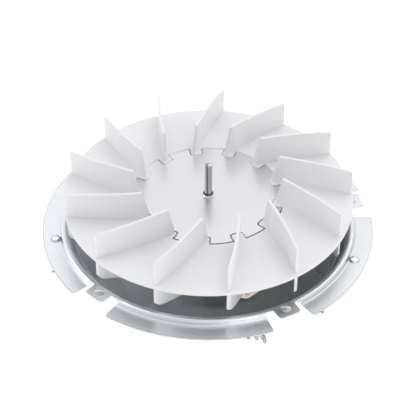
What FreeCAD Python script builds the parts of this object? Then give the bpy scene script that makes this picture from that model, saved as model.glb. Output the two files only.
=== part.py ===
import FreeCAD, Part
import math
import operator
import os
import Sketcher
from FreeCAD import Placement, Rotation, Vector

# Oven fan motor: a shaded-pole motor under a pressed mounting plate, with a double-sided impeller on
# its shaft. Millimetres. The shaft is on Z, and z = 0 is where its free end begins, at the relief
# groove above the hub bush. The plate's two screw holes lie on a line along X, on the -Y side of the shaft.

DRIVING_SIZES = [
    # Shaft and hub
    ("shaft_diameter", 4.0),
    ("shaft_free_length", 18.5),
    ("shaft_tail_length", 1.5),
    ("shaft_end_dome", 0.7),
    ("relief_width", 0.9),
    ("relief_depth", 0.3),
    ("running_clearance", 0.05),
    ("end_play", 0.2),
    ("hub_rise", 1.2),
    ("bush_neck_wall", 0.35),
    ("bush_flange_diameter", 6.2),
    ("bush_flange_height", 0.5),
    ("bush_body_diameter", 12.0),
    ("bush_body_length", 9.0),
    ("bush_spigot_diameter", 5.4),
    ("hub_disc_thickness", 0.8),
    ("hub_disc_drop", 0.4),
    ("disc_edge_gap", 0.4),
    ("insert_gap", 0.3),
    # Impeller
    ("impeller_diameter", 150.0),
    ("impeller_disc_thickness", 2.0),
    ("ring_inner_diameter", 79.8),
    ("ledge_width", 3.4),
    ("finger_width", 6.0),
    ("finger_length", 5.4),
    ("finger_corner", 1.4),
    ("finger_lag_angle", 16.3),
    ("blade_count", 13),
    ("blade_start_angle", 6.3),
    ("blade_thickness", 1.4),
    ("blade_tip_inset", 1.05),
    ("blade_tip_height", 14.4),
    ("blade_heel_height", 16.3),
    ("blade_heel_inset", 4.8),
    ("blade_heel_lean", 3.3),
    ("blade_middle_share", 0.494),
    ("blade_middle_sweep", 7.0),
    ("blade_heel_sweep", 18.5),
    ("blade_corner", 0.8),
    ("lower_blade_depth", 11.7),
    ("lower_blade_corner", 2.2),
    ("lower_middle_share", 0.501),
    ("lower_middle_sweep", 8.2),
    ("lower_heel_offset", 10.1),
    ("lower_heel_sweep", 18.0),
    ("lower_heel_lean", 3.0),
    # Mounting plate
    ("sheet_thickness", 0.8),
    ("plate_diameter", 173.6),
    ("disc_to_flange", 19.2),
    ("rim_height", 2.9),
    ("flange_width", 9.6),
    ("rim_width", 2.6),
    ("dish_wall_run", 4.6),
    ("dish_floor_drop", 5.5),
    ("bend_radius", 0.9),
    ("dish_bend_radius", 2.2),
    ("tab_pitch_angle", 72.0),
    ("first_tab_angle", 232.65),
    ("tab_count", 4),
    ("notch_width_angle", 15.0),
    ("notch_rim_overlap", 0.6),
    ("tab_width", 11.8),
    ("tab_tip_inset", 3.8),
    ("tab_corner", 1.8),
    ("dimple_radius", 2.6),
    ("dimple_height", 0.6),
    ("dimple_inset", 8.6),
    ("segment_corner", 1.4),
    ("screw_hole_inset", 6.4),
    ("screw_hole_half_angle", 74.25),
    ("screw_hole_diameter", 3.4),
    ("screw_boss_diameter", 5.8),
    ("screw_boss_wall", 0.5),
    ("screw_boss_height", 0.9),
    ("nib_width", 1.6),
    ("nib_reach", 1.1),
    ("first_nib_angle", 211.75),
    ("second_nib_angle", 288.45),
    ("third_nib_angle", 315.65),
    ("centre_hole_diameter", 24.0),
    ("coil_window_margin", 5.0),
    ("coil_window_corner", 4.0),
    ("air_slot_radius", 46.0),
    ("air_slot_width", 14.0),
    ("air_slot_span_angle", 44.0),
    ("air_slot_centre_angle", 142.0),
    # Motor
    ("coil_azimuth", 320.0),
    ("floor_to_stack", 9.1),
    ("stack_thickness", 15.0),
    ("stack_width", 64.0),
    ("stack_back", 24.0),
    ("stack_corner", 8.0),
    ("leg_width", 12.0),
    ("window_start", 18.0),
    ("limb_start", 28.4),
    ("limb_width", 13.0),
    ("rotor_bore", 27.0),
    ("air_gap", 0.3),
    ("bobbin_wall", 1.0),
    ("bobbin_flange_thickness", 1.5),
    ("bobbin_end_gap", 0.4),
    ("bobbin_corner", 3.0),
    ("bobbin_flange_overhang", 2.0),
    ("winding_depth", 3.8),
    ("wrap_thickness", 0.4),
    ("winding_corner", 3.0),
    ("terminal_block_width", 5.4),
    ("terminal_block_depth", 5.6),
    ("terminal_block_inset", 5.0),
    ("terminal_block_height", 9.0),
    ("terminal_block_foot", 0.6),
    ("terminal_drop", 4.7),
    ("terminal_lean_angle", 21.0),
    ("terminal_pitch", 3.0),
    ("terminal_width", 4.8),
    ("terminal_thickness", 0.8),
    ("terminal_reach", 6.6),
    ("terminal_stagger", 4.6),
    ("terminal_root", 2.6),
    ("cage_bar_count", 14),
    ("cage_bar_diameter", 2.4),
    ("end_ring_height", 2.5),
    ("end_ring_width", 4.6),
    ("washer_diameter", 8.0),
    ("washer_thickness", 0.8),
    ("bearing_diameter", 9.6),
    ("bearing_length", 6.4),
    ("felt_diameter", 14.6),
    ("felt_length", 4.2),
    ("retainer_thickness", 0.4),
    ("bracket_width", 12.0),
    ("bracket_thickness", 2.6),
    ("bracket_boss_wall", 2.2),
    ("bracket_arm_clearance", 4.6),
    ("screw_side_inset", 6.0),
    ("screw_diameter", 4.0),
    ("screw_head_diameter", 7.4),
    ("screw_head_height", 2.2),
    ("screw_head_corner", 1.3),
    ("screw_recess_width", 0.9),
    ("screw_recess_depth", 1.2),
    ("screw_hole_clearance", 0.25),
    ("screw_tail", 1.8),
    ("spacer_diameter", 8.0),
    ("nut_across_flats", 7.0),
    ("nut_height", 3.2),
    ("nut_face_inset", 0.07),
    ("rivet_diameter", 3.0),
    ("rivet_head_diameter", 5.4),
    ("rivet_head_height", 1.2),
    ("rivet_hole_clearance", 0.1),
    ("rivet_back_inset", 12.0),
    ("rivet_side_inset", 7.0),
    ("rivet_front_inset", 6.0),
    ("shading_ring_diameter", 1.8),
    ("shading_hole_clearance", 0.2),
    ("shading_ring_inset", 1.7),
    ("shading_ring_length", 5.4),
    ("shading_ring_angle", 38.0),
    ("shading_ring_stand_off", 0.2),
]

# Share of the tip inset by which a blade's plan runs on past the tip circle before it is trimmed
TIP_OVERRUN = 0.6
# Radius that a nut's chamfer gains for each millimetre of height
CHAMFER_SLOPE = 1.7
TOLERANCE = 0.001
ANGLE_TOLERANCE = 0.01

OPERATIONS = {"+": operator.add, "-": operator.sub, "*": operator.mul, "/": operator.truediv}

doc = FreeCAD.newDocument("oven_fan_motor")
sheet = doc.addObject("Spreadsheet::Sheet", "sizes")
made = []


class Size:
    """A number that also carries the sheet formula it comes from, so features can be bound to it."""

    def __init__(self, value, formula):
        self.value = value
        self.formula = formula

    def __add__(self, other):
        return combined(self, "+", other)

    def __radd__(self, other):
        return combined(other, "+", self)

    def __sub__(self, other):
        return combined(self, "-", other)

    def __rsub__(self, other):
        return combined(other, "-", self)

    def __mul__(self, other):
        return combined(self, "*", other)

    def __rmul__(self, other):
        return combined(other, "*", self)

    def __truediv__(self, other):
        return combined(self, "/", other)

    def __neg__(self):
        return combined(0.0, "-", self)

    def __float__(self):
        return self.value


def as_size(item):
    return item if isinstance(item, Size) else Size(float(item), repr(float(item)))


def combined(left, sign, right):
    left = as_size(left)
    right = as_size(right)
    return Size(OPERATIONS[sign](left.value, right.value), f"({left.formula} {sign} {right.formula})")


class Sizes:
    """The driving sizes by name, read back from the sheet."""


size = Sizes()
for row, (alias, number) in enumerate(DRIVING_SIZES, start=1):
    sheet.set(f"A{row}", alias)
    sheet.set(f"B{row}", str(number))
    sheet.setAlias(f"B{row}", alias)
doc.recompute()
for alias, number in DRIVING_SIZES:
    setattr(size, alias, Size(float(sheet.get(alias)), f"sizes.{alias}"))

# Radii and levels that several pieces share

shaft_radius = size.shaft_diameter / 2
impeller_radius = size.impeller_diameter / 2
blade_tip_radius = impeller_radius - size.blade_tip_inset
ring_inner_radius = size.ring_inner_diameter / 2
blade_heel_radius = ring_inner_radius - size.blade_heel_inset
blade_middle_radius = blade_heel_radius + (blade_tip_radius - blade_heel_radius) * size.blade_middle_share
lower_heel_radius = ring_inner_radius + size.lower_heel_offset
lower_middle_radius = lower_heel_radius + (blade_tip_radius - lower_heel_radius) * size.lower_middle_share
disc_top = -size.hub_rise
disc_bottom = disc_top - size.impeller_disc_thickness
hub_disc_top = disc_top - size.hub_disc_drop
hub_disc_bottom = hub_disc_top - size.hub_disc_thickness
bush_bottom = hub_disc_bottom - size.bush_body_length
plate_radius = size.plate_diameter / 2
rim_outer_radius = plate_radius - size.flange_width
rim_inner_radius = rim_outer_radius - size.rim_width
dish_floor_radius = rim_inner_radius - size.dish_wall_run
screw_hole_place = plate_radius - size.screw_hole_inset
flange_top = disc_top - size.disc_to_flange
rim_top = flange_top + size.rim_height
floor_top = flange_top - size.dish_floor_drop
floor_bottom = floor_top - size.sheet_thickness
stack_top = floor_top - size.floor_to_stack
stack_bottom = stack_top - size.stack_thickness
stack_middle = stack_top - size.stack_thickness / 2
rotor_bore_radius = size.rotor_bore / 2
rotor_radius = rotor_bore_radius - size.air_gap
ring_top = stack_top + size.end_ring_height
# Distance from the stack's face to the bearing's inner face
bearing_start = size.end_ring_height + size.washer_thickness + size.end_play
bearing_end = bearing_start + size.bearing_length
boss_end = bearing_end + size.bracket_boss_wall
pocket_radius = size.felt_diameter / 2
boss_radius = pocket_radius + size.bracket_boss_wall
screw_bore_radius = size.screw_diameter / 2 + size.screw_hole_clearance
screw_place = size.stack_width / 2 - size.screw_side_inset
shading_ring_inner = rotor_bore_radius + size.shading_ring_inset
shading_ring_outer = shading_ring_inner + size.shading_ring_length
limb_end = size.limb_start + size.limb_width
tube_inner = size.limb_start - size.bobbin_wall
tube_outer = limb_end + size.bobbin_wall
coil_inner = tube_inner - size.winding_depth - size.wrap_thickness
coil_outer = tube_outer + size.winding_depth + size.wrap_thickness
coil_half_height = size.stack_thickness / 2 + size.bobbin_wall + size.winding_depth + size.wrap_thickness
leg_inner = size.stack_width / 2 - size.leg_width
bobbin_half_length = leg_inner - size.bobbin_end_gap
coil_half_length = bobbin_half_length - size.bobbin_flange_thickness
tab_angles = [
    size.first_tab_angle.value + size.tab_pitch_angle.value * index
    for index in range(int(size.tab_count.value))
]


# Sketch and feature helpers


def motor_placement(level=0.0, azimuth=0.0):
    """Placement of a motor piece: the coil's direction is local +X, turned round the shaft."""
    turn = Rotation(Vector(0, 0, 1), size.coil_azimuth.value + azimuth)
    return Placement(Vector(0, 0, float(level)), turn)


def new_body(name):
    body = doc.addObject("PartDesign::Body", name)
    body.Label = name
    made.append(body)
    return body


def origin_part(body, role):
    return next(feature for feature in body.Origin.OriginFeatures if feature.Role == role)


def new_sketch(body, name, role="XY_Plane", level=0.0):
    sketch = body.newObject("Sketcher::SketchObject", name)
    sketch.AttachmentSupport = [(origin_part(body, role), "")]
    sketch.MapMode = "FlatFace"
    sketch.AttachmentOffset = Placement(Vector(0, 0, float(level)), Rotation())
    if isinstance(level, Size):
        sketch.setExpression("AttachmentOffset.Base.z", level.formula)
    return sketch


def hold(sketch, kind, value, *places):
    """Adds a dimension to the sketch and binds it to the sheet."""
    value = as_size(value)
    index = sketch.addConstraint(Sketcher.Constraint(kind, *places, value.value))
    if "sizes." in value.formula:
        sketch.setExpression(f"Constraints[{index}]", value.formula)


def polygon(sketch, corners):
    """Closed outline of straight edges whose corners are held at the given sizes."""
    first = sketch.GeometryCount
    count = len(corners)
    points = [Vector(float(x), float(y), 0) for x, y in corners]
    edges = [Part.LineSegment(points[index], points[(index + 1) % count]) for index in range(count)]
    sketch.addGeometry(edges, False)
    joints = []
    for index in range(count):
        follower = first + (index + 1) % count
        joints.append(Sketcher.Constraint("Coincident", first + index, 2, follower, 1))
    sketch.addConstraint(joints)
    for index, (x, y) in enumerate(corners):
        hold(sketch, "DistanceX", x, -1, 1, first + index, 1)
        hold(sketch, "DistanceY", y, -1, 1, first + index, 1)


def circle(sketch, x, y, radius):
    index = sketch.addGeometry(Part.Circle(Vector(float(x), float(y), 0), Vector(0, 0, 1), float(radius)))
    hold(sketch, "DistanceX", x, -1, 1, index, 3)
    hold(sketch, "DistanceY", y, -1, 1, index, 3)
    hold(sketch, "Radius", radius, index)


def polar(radius, angle):
    """Point in the XY plane at a radius and an angle in degrees."""
    turn = math.radians(angle)
    return Vector(float(radius) * math.cos(turn), float(radius) * math.sin(turn), 0)


def rounded(corners):
    """Edges of a closed outline: each corner is a point and the radius of its rounding."""
    count = len(corners)
    trims = []
    for index in range(count):
        point, radius = corners[index]
        before = (corners[index - 1][0] - point).normalize()
        after = (corners[(index + 1) % count][0] - point).normalize()
        half = before.getAngle(after) / 2
        if radius <= 0 or half > math.pi / 2 - TOLERANCE:
            trims.append((point, None, point))
            continue
        along = radius / math.tan(half)
        middle = (before + after).normalize() * (radius / math.sin(half) - radius)
        trims.append((point + before * along, point + middle, point + after * along))
    edges = []
    for index in range(count):
        start, middle, end = trims[index]
        if middle is not None:
            edges.append(Part.Arc(start, middle, end))
        edges.append(Part.LineSegment(end, trims[(index + 1) % count][0]))
    return edges


def sector(inner_radius, outer_radius, start_angle, end_angle):
    """Edges of a ring sector about the shaft."""
    angles = (start_angle, (start_angle + end_angle) / 2, end_angle)
    inner = [polar(inner_radius, angle) for angle in angles]
    outer = [polar(outer_radius, angle) for angle in angles]
    return [
        Part.Arc(*inner),
        Part.LineSegment(inner[2], outer[2]),
        Part.Arc(*reversed(outer)),
        Part.LineSegment(outer[0], inner[0]),
    ]


def feature(body, kind, name, sketch):
    made_feature = body.newObject(f"PartDesign::{kind}", name)
    made_feature.Profile = sketch
    sketch.Visibility = False
    return made_feature


def pad(body, name, sketch, length, downward=False):
    made_feature = feature(body, "Pad", name, sketch)
    length = as_size(length)
    made_feature.Length = length.value
    if "sizes." in length.formula:
        made_feature.setExpression("Length", length.formula)
    made_feature.Reversed = downward
    return made_feature


def pocket(body, name, sketch):
    """Cuts the sketch's outline through everything, both ways."""
    made_feature = feature(body, "Pocket", name, sketch)
    made_feature.Type = "ThroughAll"
    made_feature.Midplane = True
    return made_feature


def revolve(body, name, sketch, kind="Revolution"):
    made_feature = feature(body, kind, name, sketch)
    made_feature.ReferenceAxis = (sketch, ["V_Axis"])
    made_feature.Angle = 360.0
    return made_feature


def polar_pattern(body, name, original, count):
    pattern = body.newObject("PartDesign::PolarPattern", name)
    pattern.Originals = [original]
    pattern.Axis = (origin_part(body, "Z_Axis"), [""])
    pattern.Angle = 360.0
    pattern.Occurrences = int(count.value)
    pattern.setExpression("Occurrences", count.formula)
    body.Tip = pattern
    return pattern


def turned(name, corners):
    """Piece turned about the shaft: corners are radius and height."""
    body = new_body(name)
    sketch = new_sketch(body, f"{name}_profile", "XZ_Plane")
    polygon(sketch, corners)
    revolve(body, f"{name}_turning", sketch)
    return body


def plain_feature(name, shape, placement=None):
    """Piece whose shape is worked out here from the sheet's sizes."""
    piece = doc.addObject("Part::Feature", name)
    piece.Label = name
    piece.Shape = shape
    if placement is not None:
        piece.Placement = placement.multiply(shape.Placement)
    made.append(piece)
    return piece


# Rotor: shaft and hub


def make_shaft():
    """Steel shaft with a domed free end and a relief groove where that end begins."""
    top = size.shaft_free_length
    bottom = stack_bottom - boss_end - size.shaft_tail_length
    dome = size.shaft_end_dome
    turned("shaft", [
        (0, bottom),
        (shaft_radius - dome / 2, bottom),
        (shaft_radius, bottom + dome / 2),
        (shaft_radius, -size.relief_width),
        (shaft_radius - size.relief_depth, -size.relief_width),
        (shaft_radius - size.relief_depth, 0),
        (shaft_radius, 0),
        (shaft_radius, top - dome),
        (shaft_radius - dome / 3, top - dome / 3),
        (shaft_radius - dome, top),
        (0, top),
    ])


def make_hub_bush():
    """The bush is riveted through the hub disc: its flange shows above, its body is below."""
    neck = shaft_radius + size.bush_neck_wall
    flange = size.bush_flange_diameter / 2
    flange_top_level = hub_disc_top + size.bush_flange_height
    spigot = size.bush_spigot_diameter / 2
    body_radius = size.bush_body_diameter / 2
    turned("hub_bush", [
        (shaft_radius, bush_bottom),
        (body_radius - size.insert_gap, bush_bottom),
        (body_radius, bush_bottom + size.insert_gap),
        (body_radius, hub_disc_bottom),
        (spigot, hub_disc_bottom),
        (spigot, hub_disc_top),
        (flange, hub_disc_top),
        (neck, flange_top_level),
        (neck, -size.relief_width),
        (shaft_radius, -size.relief_width),
    ])


def finger_edges(clearance):
    """Outline of one impeller finger, or of its notch in the hub disc with a clearance all round."""
    half_width = size.finger_width.value / 2 + clearance
    inner = ring_inner_radius.value - size.finger_length.value - clearance
    outer = ring_inner_radius.value + size.ledge_width.value / 2
    turn = Rotation(Vector(0, 0, 1), size.blade_start_angle.value + size.finger_lag_angle.value)
    corner = size.finger_corner.value + clearance
    corners = [
        (Vector(inner, -half_width, 0), corner),
        (Vector(outer, -half_width, 0), 0),
        (Vector(outer, half_width, 0), 0),
        (Vector(inner, half_width, 0), corner),
    ]
    return rounded([(turn.multVec(point), radius) for point, radius in corners])


def make_hub_disc():
    """Metal disc let into the impeller's ring, with a notch round each moulded finger."""
    body = new_body("hub_disc")
    sketch = new_sketch(body, "hub_disc_outline", level=hub_disc_bottom)
    circle(sketch, 0, 0, ring_inner_radius - size.disc_edge_gap)
    circle(sketch, 0, 0, size.bush_spigot_diameter / 2)
    pad(body, "hub_disc_blank", sketch, size.hub_disc_thickness)
    notch = new_sketch(body, "hub_disc_notch", level=hub_disc_bottom)
    notch.addGeometry(finger_edges(size.disc_edge_gap.value), False)
    cut = pocket(body, "hub_disc_notch_cut", notch)
    polar_pattern(body, "hub_disc_notches", cut, size.blade_count)


# Rotor: impeller


def blade_edges(radii, sweeps):
    """Plan of one blade: two concentric arcs through the tip, middle and heel, joined at the ends.

    The tip end runs on past the tip circle, and the trimming groove brings it back.
    """
    start = size.blade_start_angle.value
    tip, middle, heel = [polar(radius, start + sweep) for radius, sweep in zip(radii, sweeps)]
    centre = Part.Circle(tip, middle, heel).Center
    camber = (tip - centre).Length
    half = size.blade_thickness.value / 2
    overrun = (tip - middle).normalize() * (size.blade_tip_inset.value * TIP_OVERRUN)

    def offset(point, distance):
        direction = (point - centre).normalize()
        return centre + direction * (camber + distance)

    outer = [offset(point, half) for point in (tip + overrun, middle, heel)]
    inner = [offset(point, -half) for point in (tip + overrun, middle, heel)]
    return [
        Part.Arc(*outer),
        Part.LineSegment(outer[2], inner[2]),
        Part.Arc(*reversed(inner)),
        Part.LineSegment(inner[0], outer[0]),
    ]


def make_impeller():
    """Moulded ring with swept blades above and below, and fingers that key into the hub disc."""
    body = new_body("impeller")
    ring = new_sketch(body, "impeller_ring_profile", "XZ_Plane")
    ledge_inner = ring_inner_radius - size.ledge_width
    polygon(ring, [
        (ring_inner_radius, disc_top),
        (impeller_radius, disc_top),
        (impeller_radius, disc_bottom),
        (ledge_inner, disc_bottom),
        (ledge_inner, hub_disc_bottom),
        (ring_inner_radius, hub_disc_bottom),
    ])
    revolve(body, "impeller_ring", ring)

    finger = new_sketch(body, "finger_outline", level=disc_bottom)
    finger.addGeometry(finger_edges(0.0), False)
    finger_pad = pad(body, "finger", finger, size.impeller_disc_thickness)
    polar_pattern(body, "fingers", finger_pad, size.blade_count)

    upper = new_sketch(body, "upper_blade_plan", level=disc_bottom + size.impeller_disc_thickness / 2)
    upper_radii = (blade_tip_radius, blade_middle_radius, blade_heel_radius)
    upper_sweeps = (0.0, size.blade_middle_sweep.value, size.blade_heel_sweep.value)
    upper.addGeometry(blade_edges(upper_radii, upper_sweeps), False)
    upper_pad = pad(
        body, "upper_blade", upper,
        size.impeller_disc_thickness / 2 + size.blade_heel_height + size.blade_corner,
    )
    polar_pattern(body, "upper_blades", upper_pad, size.blade_count)

    lower = new_sketch(body, "lower_blade_plan", level=disc_bottom + size.impeller_disc_thickness / 2)
    lower_radii = (blade_tip_radius, lower_middle_radius, lower_heel_radius)
    lower_sweeps = (0.0, size.lower_middle_sweep.value, size.lower_heel_sweep.value)
    lower.addGeometry(blade_edges(lower_radii, lower_sweeps), False)
    lower_pad = pad(
        body, "lower_blade", lower,
        size.impeller_disc_thickness / 2 + size.lower_blade_depth, downward=True,
    )
    polar_pattern(body, "lower_blades", lower_pad, size.blade_count)

    trim_blades(body, "upper_trim", upper_trim_edges())
    trim_blades(body, "lower_trim", lower_trim_edges())


def trim_blades(body, name, edges):
    sketch = new_sketch(body, f"{name}_profile", "XZ_Plane")
    sketch.addGeometry(edges, False)
    body.Tip = revolve(body, name, sketch, kind="Groove")


def upper_trim_edges():
    """Section of what is turned away above the ring: the blades keep their tip, top and heel lines."""
    above = disc_top.value + size.blade_heel_height.value + 4 * size.blade_corner.value
    outside = impeller_radius.value + 4 * size.blade_corner.value
    tip_top = disc_top.value + size.blade_tip_height.value
    heel_top = disc_top.value + size.blade_heel_height.value
    heel_foot = blade_heel_radius.value
    heel_head = heel_foot + size.blade_heel_lean.value
    corner = size.blade_corner.value
    return rounded([
        (Vector(0, above, 0), 0),
        (Vector(0, disc_top.value, 0), 0),
        (Vector(heel_foot, disc_top.value, 0), 0),
        (Vector(heel_head, heel_top, 0), corner),
        (Vector(blade_tip_radius.value, tip_top, 0), corner),
        (Vector(blade_tip_radius.value, disc_top.value, 0), 0),
        (Vector(outside, disc_top.value, 0), 0),
        (Vector(outside, above, 0), 0),
    ])


def lower_trim_edges():
    """Section of what is turned away below the ring: a rounded outer corner and a leaning heel."""
    bottom = disc_bottom.value - size.lower_blade_depth.value
    below = bottom - 4 * size.blade_corner.value
    outside = impeller_radius.value + 4 * size.blade_corner.value
    tip = blade_tip_radius.value
    heel_foot = lower_heel_radius.value
    heel_head = heel_foot + size.lower_heel_lean.value
    return rounded([
        (Vector(ring_inner_radius.value, disc_bottom.value, 0), 0),
        (Vector(heel_foot, disc_bottom.value, 0), 0),
        (Vector(heel_head, bottom, 0), size.blade_corner.value),
        (Vector(tip, bottom, 0), size.lower_blade_corner.value),
        (Vector(tip, disc_bottom.value, 0), 0),
        (Vector(outside, disc_bottom.value, 0), 0),
        (Vector(outside, below, 0), 0),
        (Vector(ring_inner_radius.value, below, 0), 0),
    ])


# Rotor: squirrel cage and thrust washers


def make_rotor_core():
    body = new_body("rotor_core")
    body.Placement = motor_placement()
    sketch = new_sketch(body, "rotor_lamination", level=stack_bottom)
    circle(sketch, 0, 0, rotor_radius)
    circle(sketch, 0, 0, shaft_radius)
    pad(body, "rotor_stack", sketch, size.stack_thickness)
    slot = new_sketch(body, "cage_bar_slot", level=stack_bottom)
    circle(slot, rotor_radius - size.cage_bar_diameter, 0, size.cage_bar_diameter / 2)
    cut = pocket(body, "cage_bar_slot_cut", slot)
    polar_pattern(body, "cage_bar_slots", cut, size.cage_bar_count)


def make_rotor_cage():
    """Cast cage: a bar in each slot and a ring at each end, one piece."""
    body = new_body("rotor_cage")
    body.Placement = motor_placement()
    ring_radius = rotor_radius - size.insert_gap
    ends = (("upper_end_ring", stack_top, False), ("lower_end_ring", stack_bottom, True))
    for name, level, downward in ends:
        sketch = new_sketch(body, f"{name}_outline", level=level)
        circle(sketch, 0, 0, ring_radius)
        circle(sketch, 0, 0, ring_radius - size.end_ring_width)
        if name == "upper_end_ring":
            pad(body, name, sketch, size.end_ring_height, downward)
            bar = new_sketch(body, "cage_bar_outline", level=stack_bottom)
            circle(bar, rotor_radius - size.cage_bar_diameter, 0, size.cage_bar_diameter / 2)
            bar_pad = pad(body, "cage_bar", bar, size.stack_thickness)
            polar_pattern(body, "cage_bars", bar_pad, size.cage_bar_count)
        else:
            body.Tip = pad(body, name, sketch, size.end_ring_height, downward)


def make_washers():
    outer = size.washer_diameter / 2
    thickness = size.end_ring_height + size.washer_thickness
    for name, face, outward in (("upper_washer", stack_top, 1), ("lower_washer", stack_bottom, -1)):
        turned(name, [
            (shaft_radius, face),
            (outer, face),
            (outer, face + thickness * outward),
            (shaft_radius, face + thickness * outward),
        ])


# Stator: mounting plate


def thickened(nodes, thickness):
    """Closed section of bent sheet: nodes are centreline corners with the bend's centreline radius."""
    points = [Vector(float(x), float(y), 0) for x, y, _ in nodes]
    half = thickness / 2

    def side(distance):
        """Corners and bend radii of the face that lies on one side of the centreline."""
        corners = []
        for index, point in enumerate(points):
            before = points[index] - points[index - 1] if index > 0 else None
            after = points[index + 1] - points[index] if index < len(points) - 1 else None
            normals = [Vector(-run.y, run.x, 0).normalize() for run in (before, after) if run is not None]
            if len(normals) == 1:
                corners.append((point + normals[0] * distance, 0.0))
                continue
            mean = (normals[0] + normals[1]).normalize()
            reach = distance / mean.dot(normals[0])
            turns_left = before.cross(after).z > 0
            radius = float(nodes[index][2]) + (-distance if turns_left else distance)
            corners.append((point + mean * reach, radius))
        return corners

    return rounded(side(half) + list(reversed(side(-half))))


def plate_section():
    """Section of the plate from its outer edge, over the rolled rim and down to the dish's floor."""
    half = size.sheet_thickness / 2
    bend = size.bend_radius
    flange = flange_top - half
    rim = rim_top - half
    floor = floor_top - half
    return thickened([
        (plate_radius, flange, 0),
        (rim_outer_radius, flange, bend),
        (rim_outer_radius - half, rim, bend),
        (rim_inner_radius, rim, bend),
        (dish_floor_radius, floor, size.dish_bend_radius),
        (size.centre_hole_diameter / 2, floor, 0),
    ], size.sheet_thickness.value)


def notch_sketch(body):
    """Sectors cut out of the flange, with rounded segment corners at the rim."""
    sketch = new_sketch(body, "notch_outline")
    half = size.notch_width_angle.value / 2
    bottom = rim_outer_radius.value - size.notch_rim_overlap.value
    outside = plate_radius.value + size.sheet_thickness.value
    for angle in tab_angles:
        sketch.addGeometry(sector(bottom, outside, angle - half, angle + half), False)
    return sketch


def tab_sketch(body, level):
    sketch = new_sketch(body, "tab_outline", level=level)
    half_width = size.tab_width.value / 2
    inner = rim_inner_radius.value + size.bend_radius.value
    tip = plate_radius.value - size.tab_tip_inset.value
    corner = size.tab_corner.value
    for angle in tab_angles:
        turn = Rotation(Vector(0, 0, 1), angle)
        corners = [
            (Vector(inner, -half_width, 0), 0),
            (Vector(tip, -half_width, 0), corner),
            (Vector(tip, half_width, 0), corner),
            (Vector(inner, half_width, 0), 0),
        ]
        sketch.addGeometry(rounded([(turn.multVec(point), radius) for point, radius in corners]), False)
    return sketch


def motor_point(x, y):
    """Point of the motor's own frame, turned into the plate's frame."""
    return Rotation(Vector(0, 0, 1), size.coil_azimuth.value).multVec(Vector(float(x), float(y), 0))


def coil_window_edges():
    """Window in the floor over the coil, which cools it."""
    margin = size.coil_window_margin.value
    start = coil_inner.value
    end = coil_outer.value + margin
    half = bobbin_half_length.value + margin
    corner = size.coil_window_corner.value
    corners = [(start, -half), (end, -half), (end, half), (start, half)]
    return rounded([(motor_point(x, y), corner) for x, y in corners])


def air_slot_edges(side):
    """Kidney-shaped air slot on the side away from the coil."""
    middle = size.coil_azimuth.value + side * size.air_slot_centre_angle.value
    half_span = size.air_slot_span_angle.value / 2
    half_width = size.air_slot_width.value / 2
    radius = size.air_slot_radius.value
    angles = (middle - half_span, middle, middle + half_span)
    cap = math.degrees(half_width / radius)
    inner = [polar(radius - half_width, angle) for angle in angles]
    outer = [polar(radius + half_width, angle) for angle in angles]
    return [
        Part.Arc(*inner),
        Part.Arc(inner[2], polar(radius, angles[2] + cap), outer[2]),
        Part.Arc(*reversed(outer)),
        Part.Arc(outer[0], polar(radius, angles[0] - cap), inner[0]),
    ]


def add_cap(body, name, kind, centre, sphere_radius, cap_height):
    """Spherical cap whose crown is above its centre point, added to the body or cut from it."""
    cap = body.newObject(f"PartDesign::{kind}Sphere", name)
    cap.Radius = sphere_radius
    cap.Angle1 = math.degrees(math.asin((sphere_radius - cap_height) / sphere_radius))
    cap.Angle2 = 90.0
    cap.Placement = Placement(centre - Vector(0, 0, sphere_radius - cap_height), Rotation())
    body.Tip = cap
    return cap


def add_cone(body, name, kind, base, base_radius, top_radius, height):
    cone = body.newObject(f"PartDesign::{kind}Cone", name)
    cone.Radius1 = base_radius
    cone.Radius2 = top_radius
    cone.Height = height
    cone.Placement = Placement(base, Rotation())
    body.Tip = cone
    return cone


def round_segments(body):
    """Rounds the outer corners of the flange's segments."""
    doc.recompute()
    notched = body.Tip
    names = []
    for number, edge in enumerate(notched.Shape.Edges, start=1):
        ends = [vertex.Point for vertex in edge.Vertexes]
        if len(ends) != 2:
            continue
        upright = math.hypot(ends[0].x - ends[1].x, ends[0].y - ends[1].y) < TOLERANCE
        outermost = abs(math.hypot(ends[0].x, ends[0].y) - plate_radius.value) < TOLERANCE
        flat_place = Vector(ends[0].x, ends[0].y, 0)
        away = [math.degrees(polar(1, angle).getAngle(flat_place)) for angle in tab_angles]
        at_notch = min(abs(angle - size.notch_width_angle.value / 2) for angle in away) < ANGLE_TOLERANCE
        if upright and outermost and at_notch:
            names.append(f"Edge{number}")
    fillet = body.newObject("PartDesign::Fillet", "segment_corners")
    fillet.Base = (notched, names)
    fillet.Radius = size.segment_corner.value
    fillet.setExpression("Radius", size.segment_corner.formula)
    body.Tip = fillet


def add_nibs(body):
    """Three small nibs on the flange's outer edge, left from the press tool."""
    sketch = new_sketch(body, "nib_outline", level=flange_top - size.sheet_thickness)
    half_width = size.nib_width.value / 2
    inner = plate_radius.value - size.nib_reach.value
    outer = plate_radius.value + size.nib_reach.value
    for angle in (size.first_nib_angle, size.second_nib_angle, size.third_nib_angle):
        turn = Rotation(Vector(0, 0, 1), angle.value)
        corners = [
            (Vector(inner, -half_width, 0), 0),
            (Vector(outer, -half_width, 0), size.nib_reach.value / 2),
            (Vector(outer, half_width, 0), size.nib_reach.value / 2),
            (Vector(inner, half_width, 0), 0),
        ]
        sketch.addGeometry(rounded([(turn.multVec(point), radius) for point, radius in corners]), False)
    body.Tip = pad(body, "nibs", sketch, size.sheet_thickness)


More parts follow.
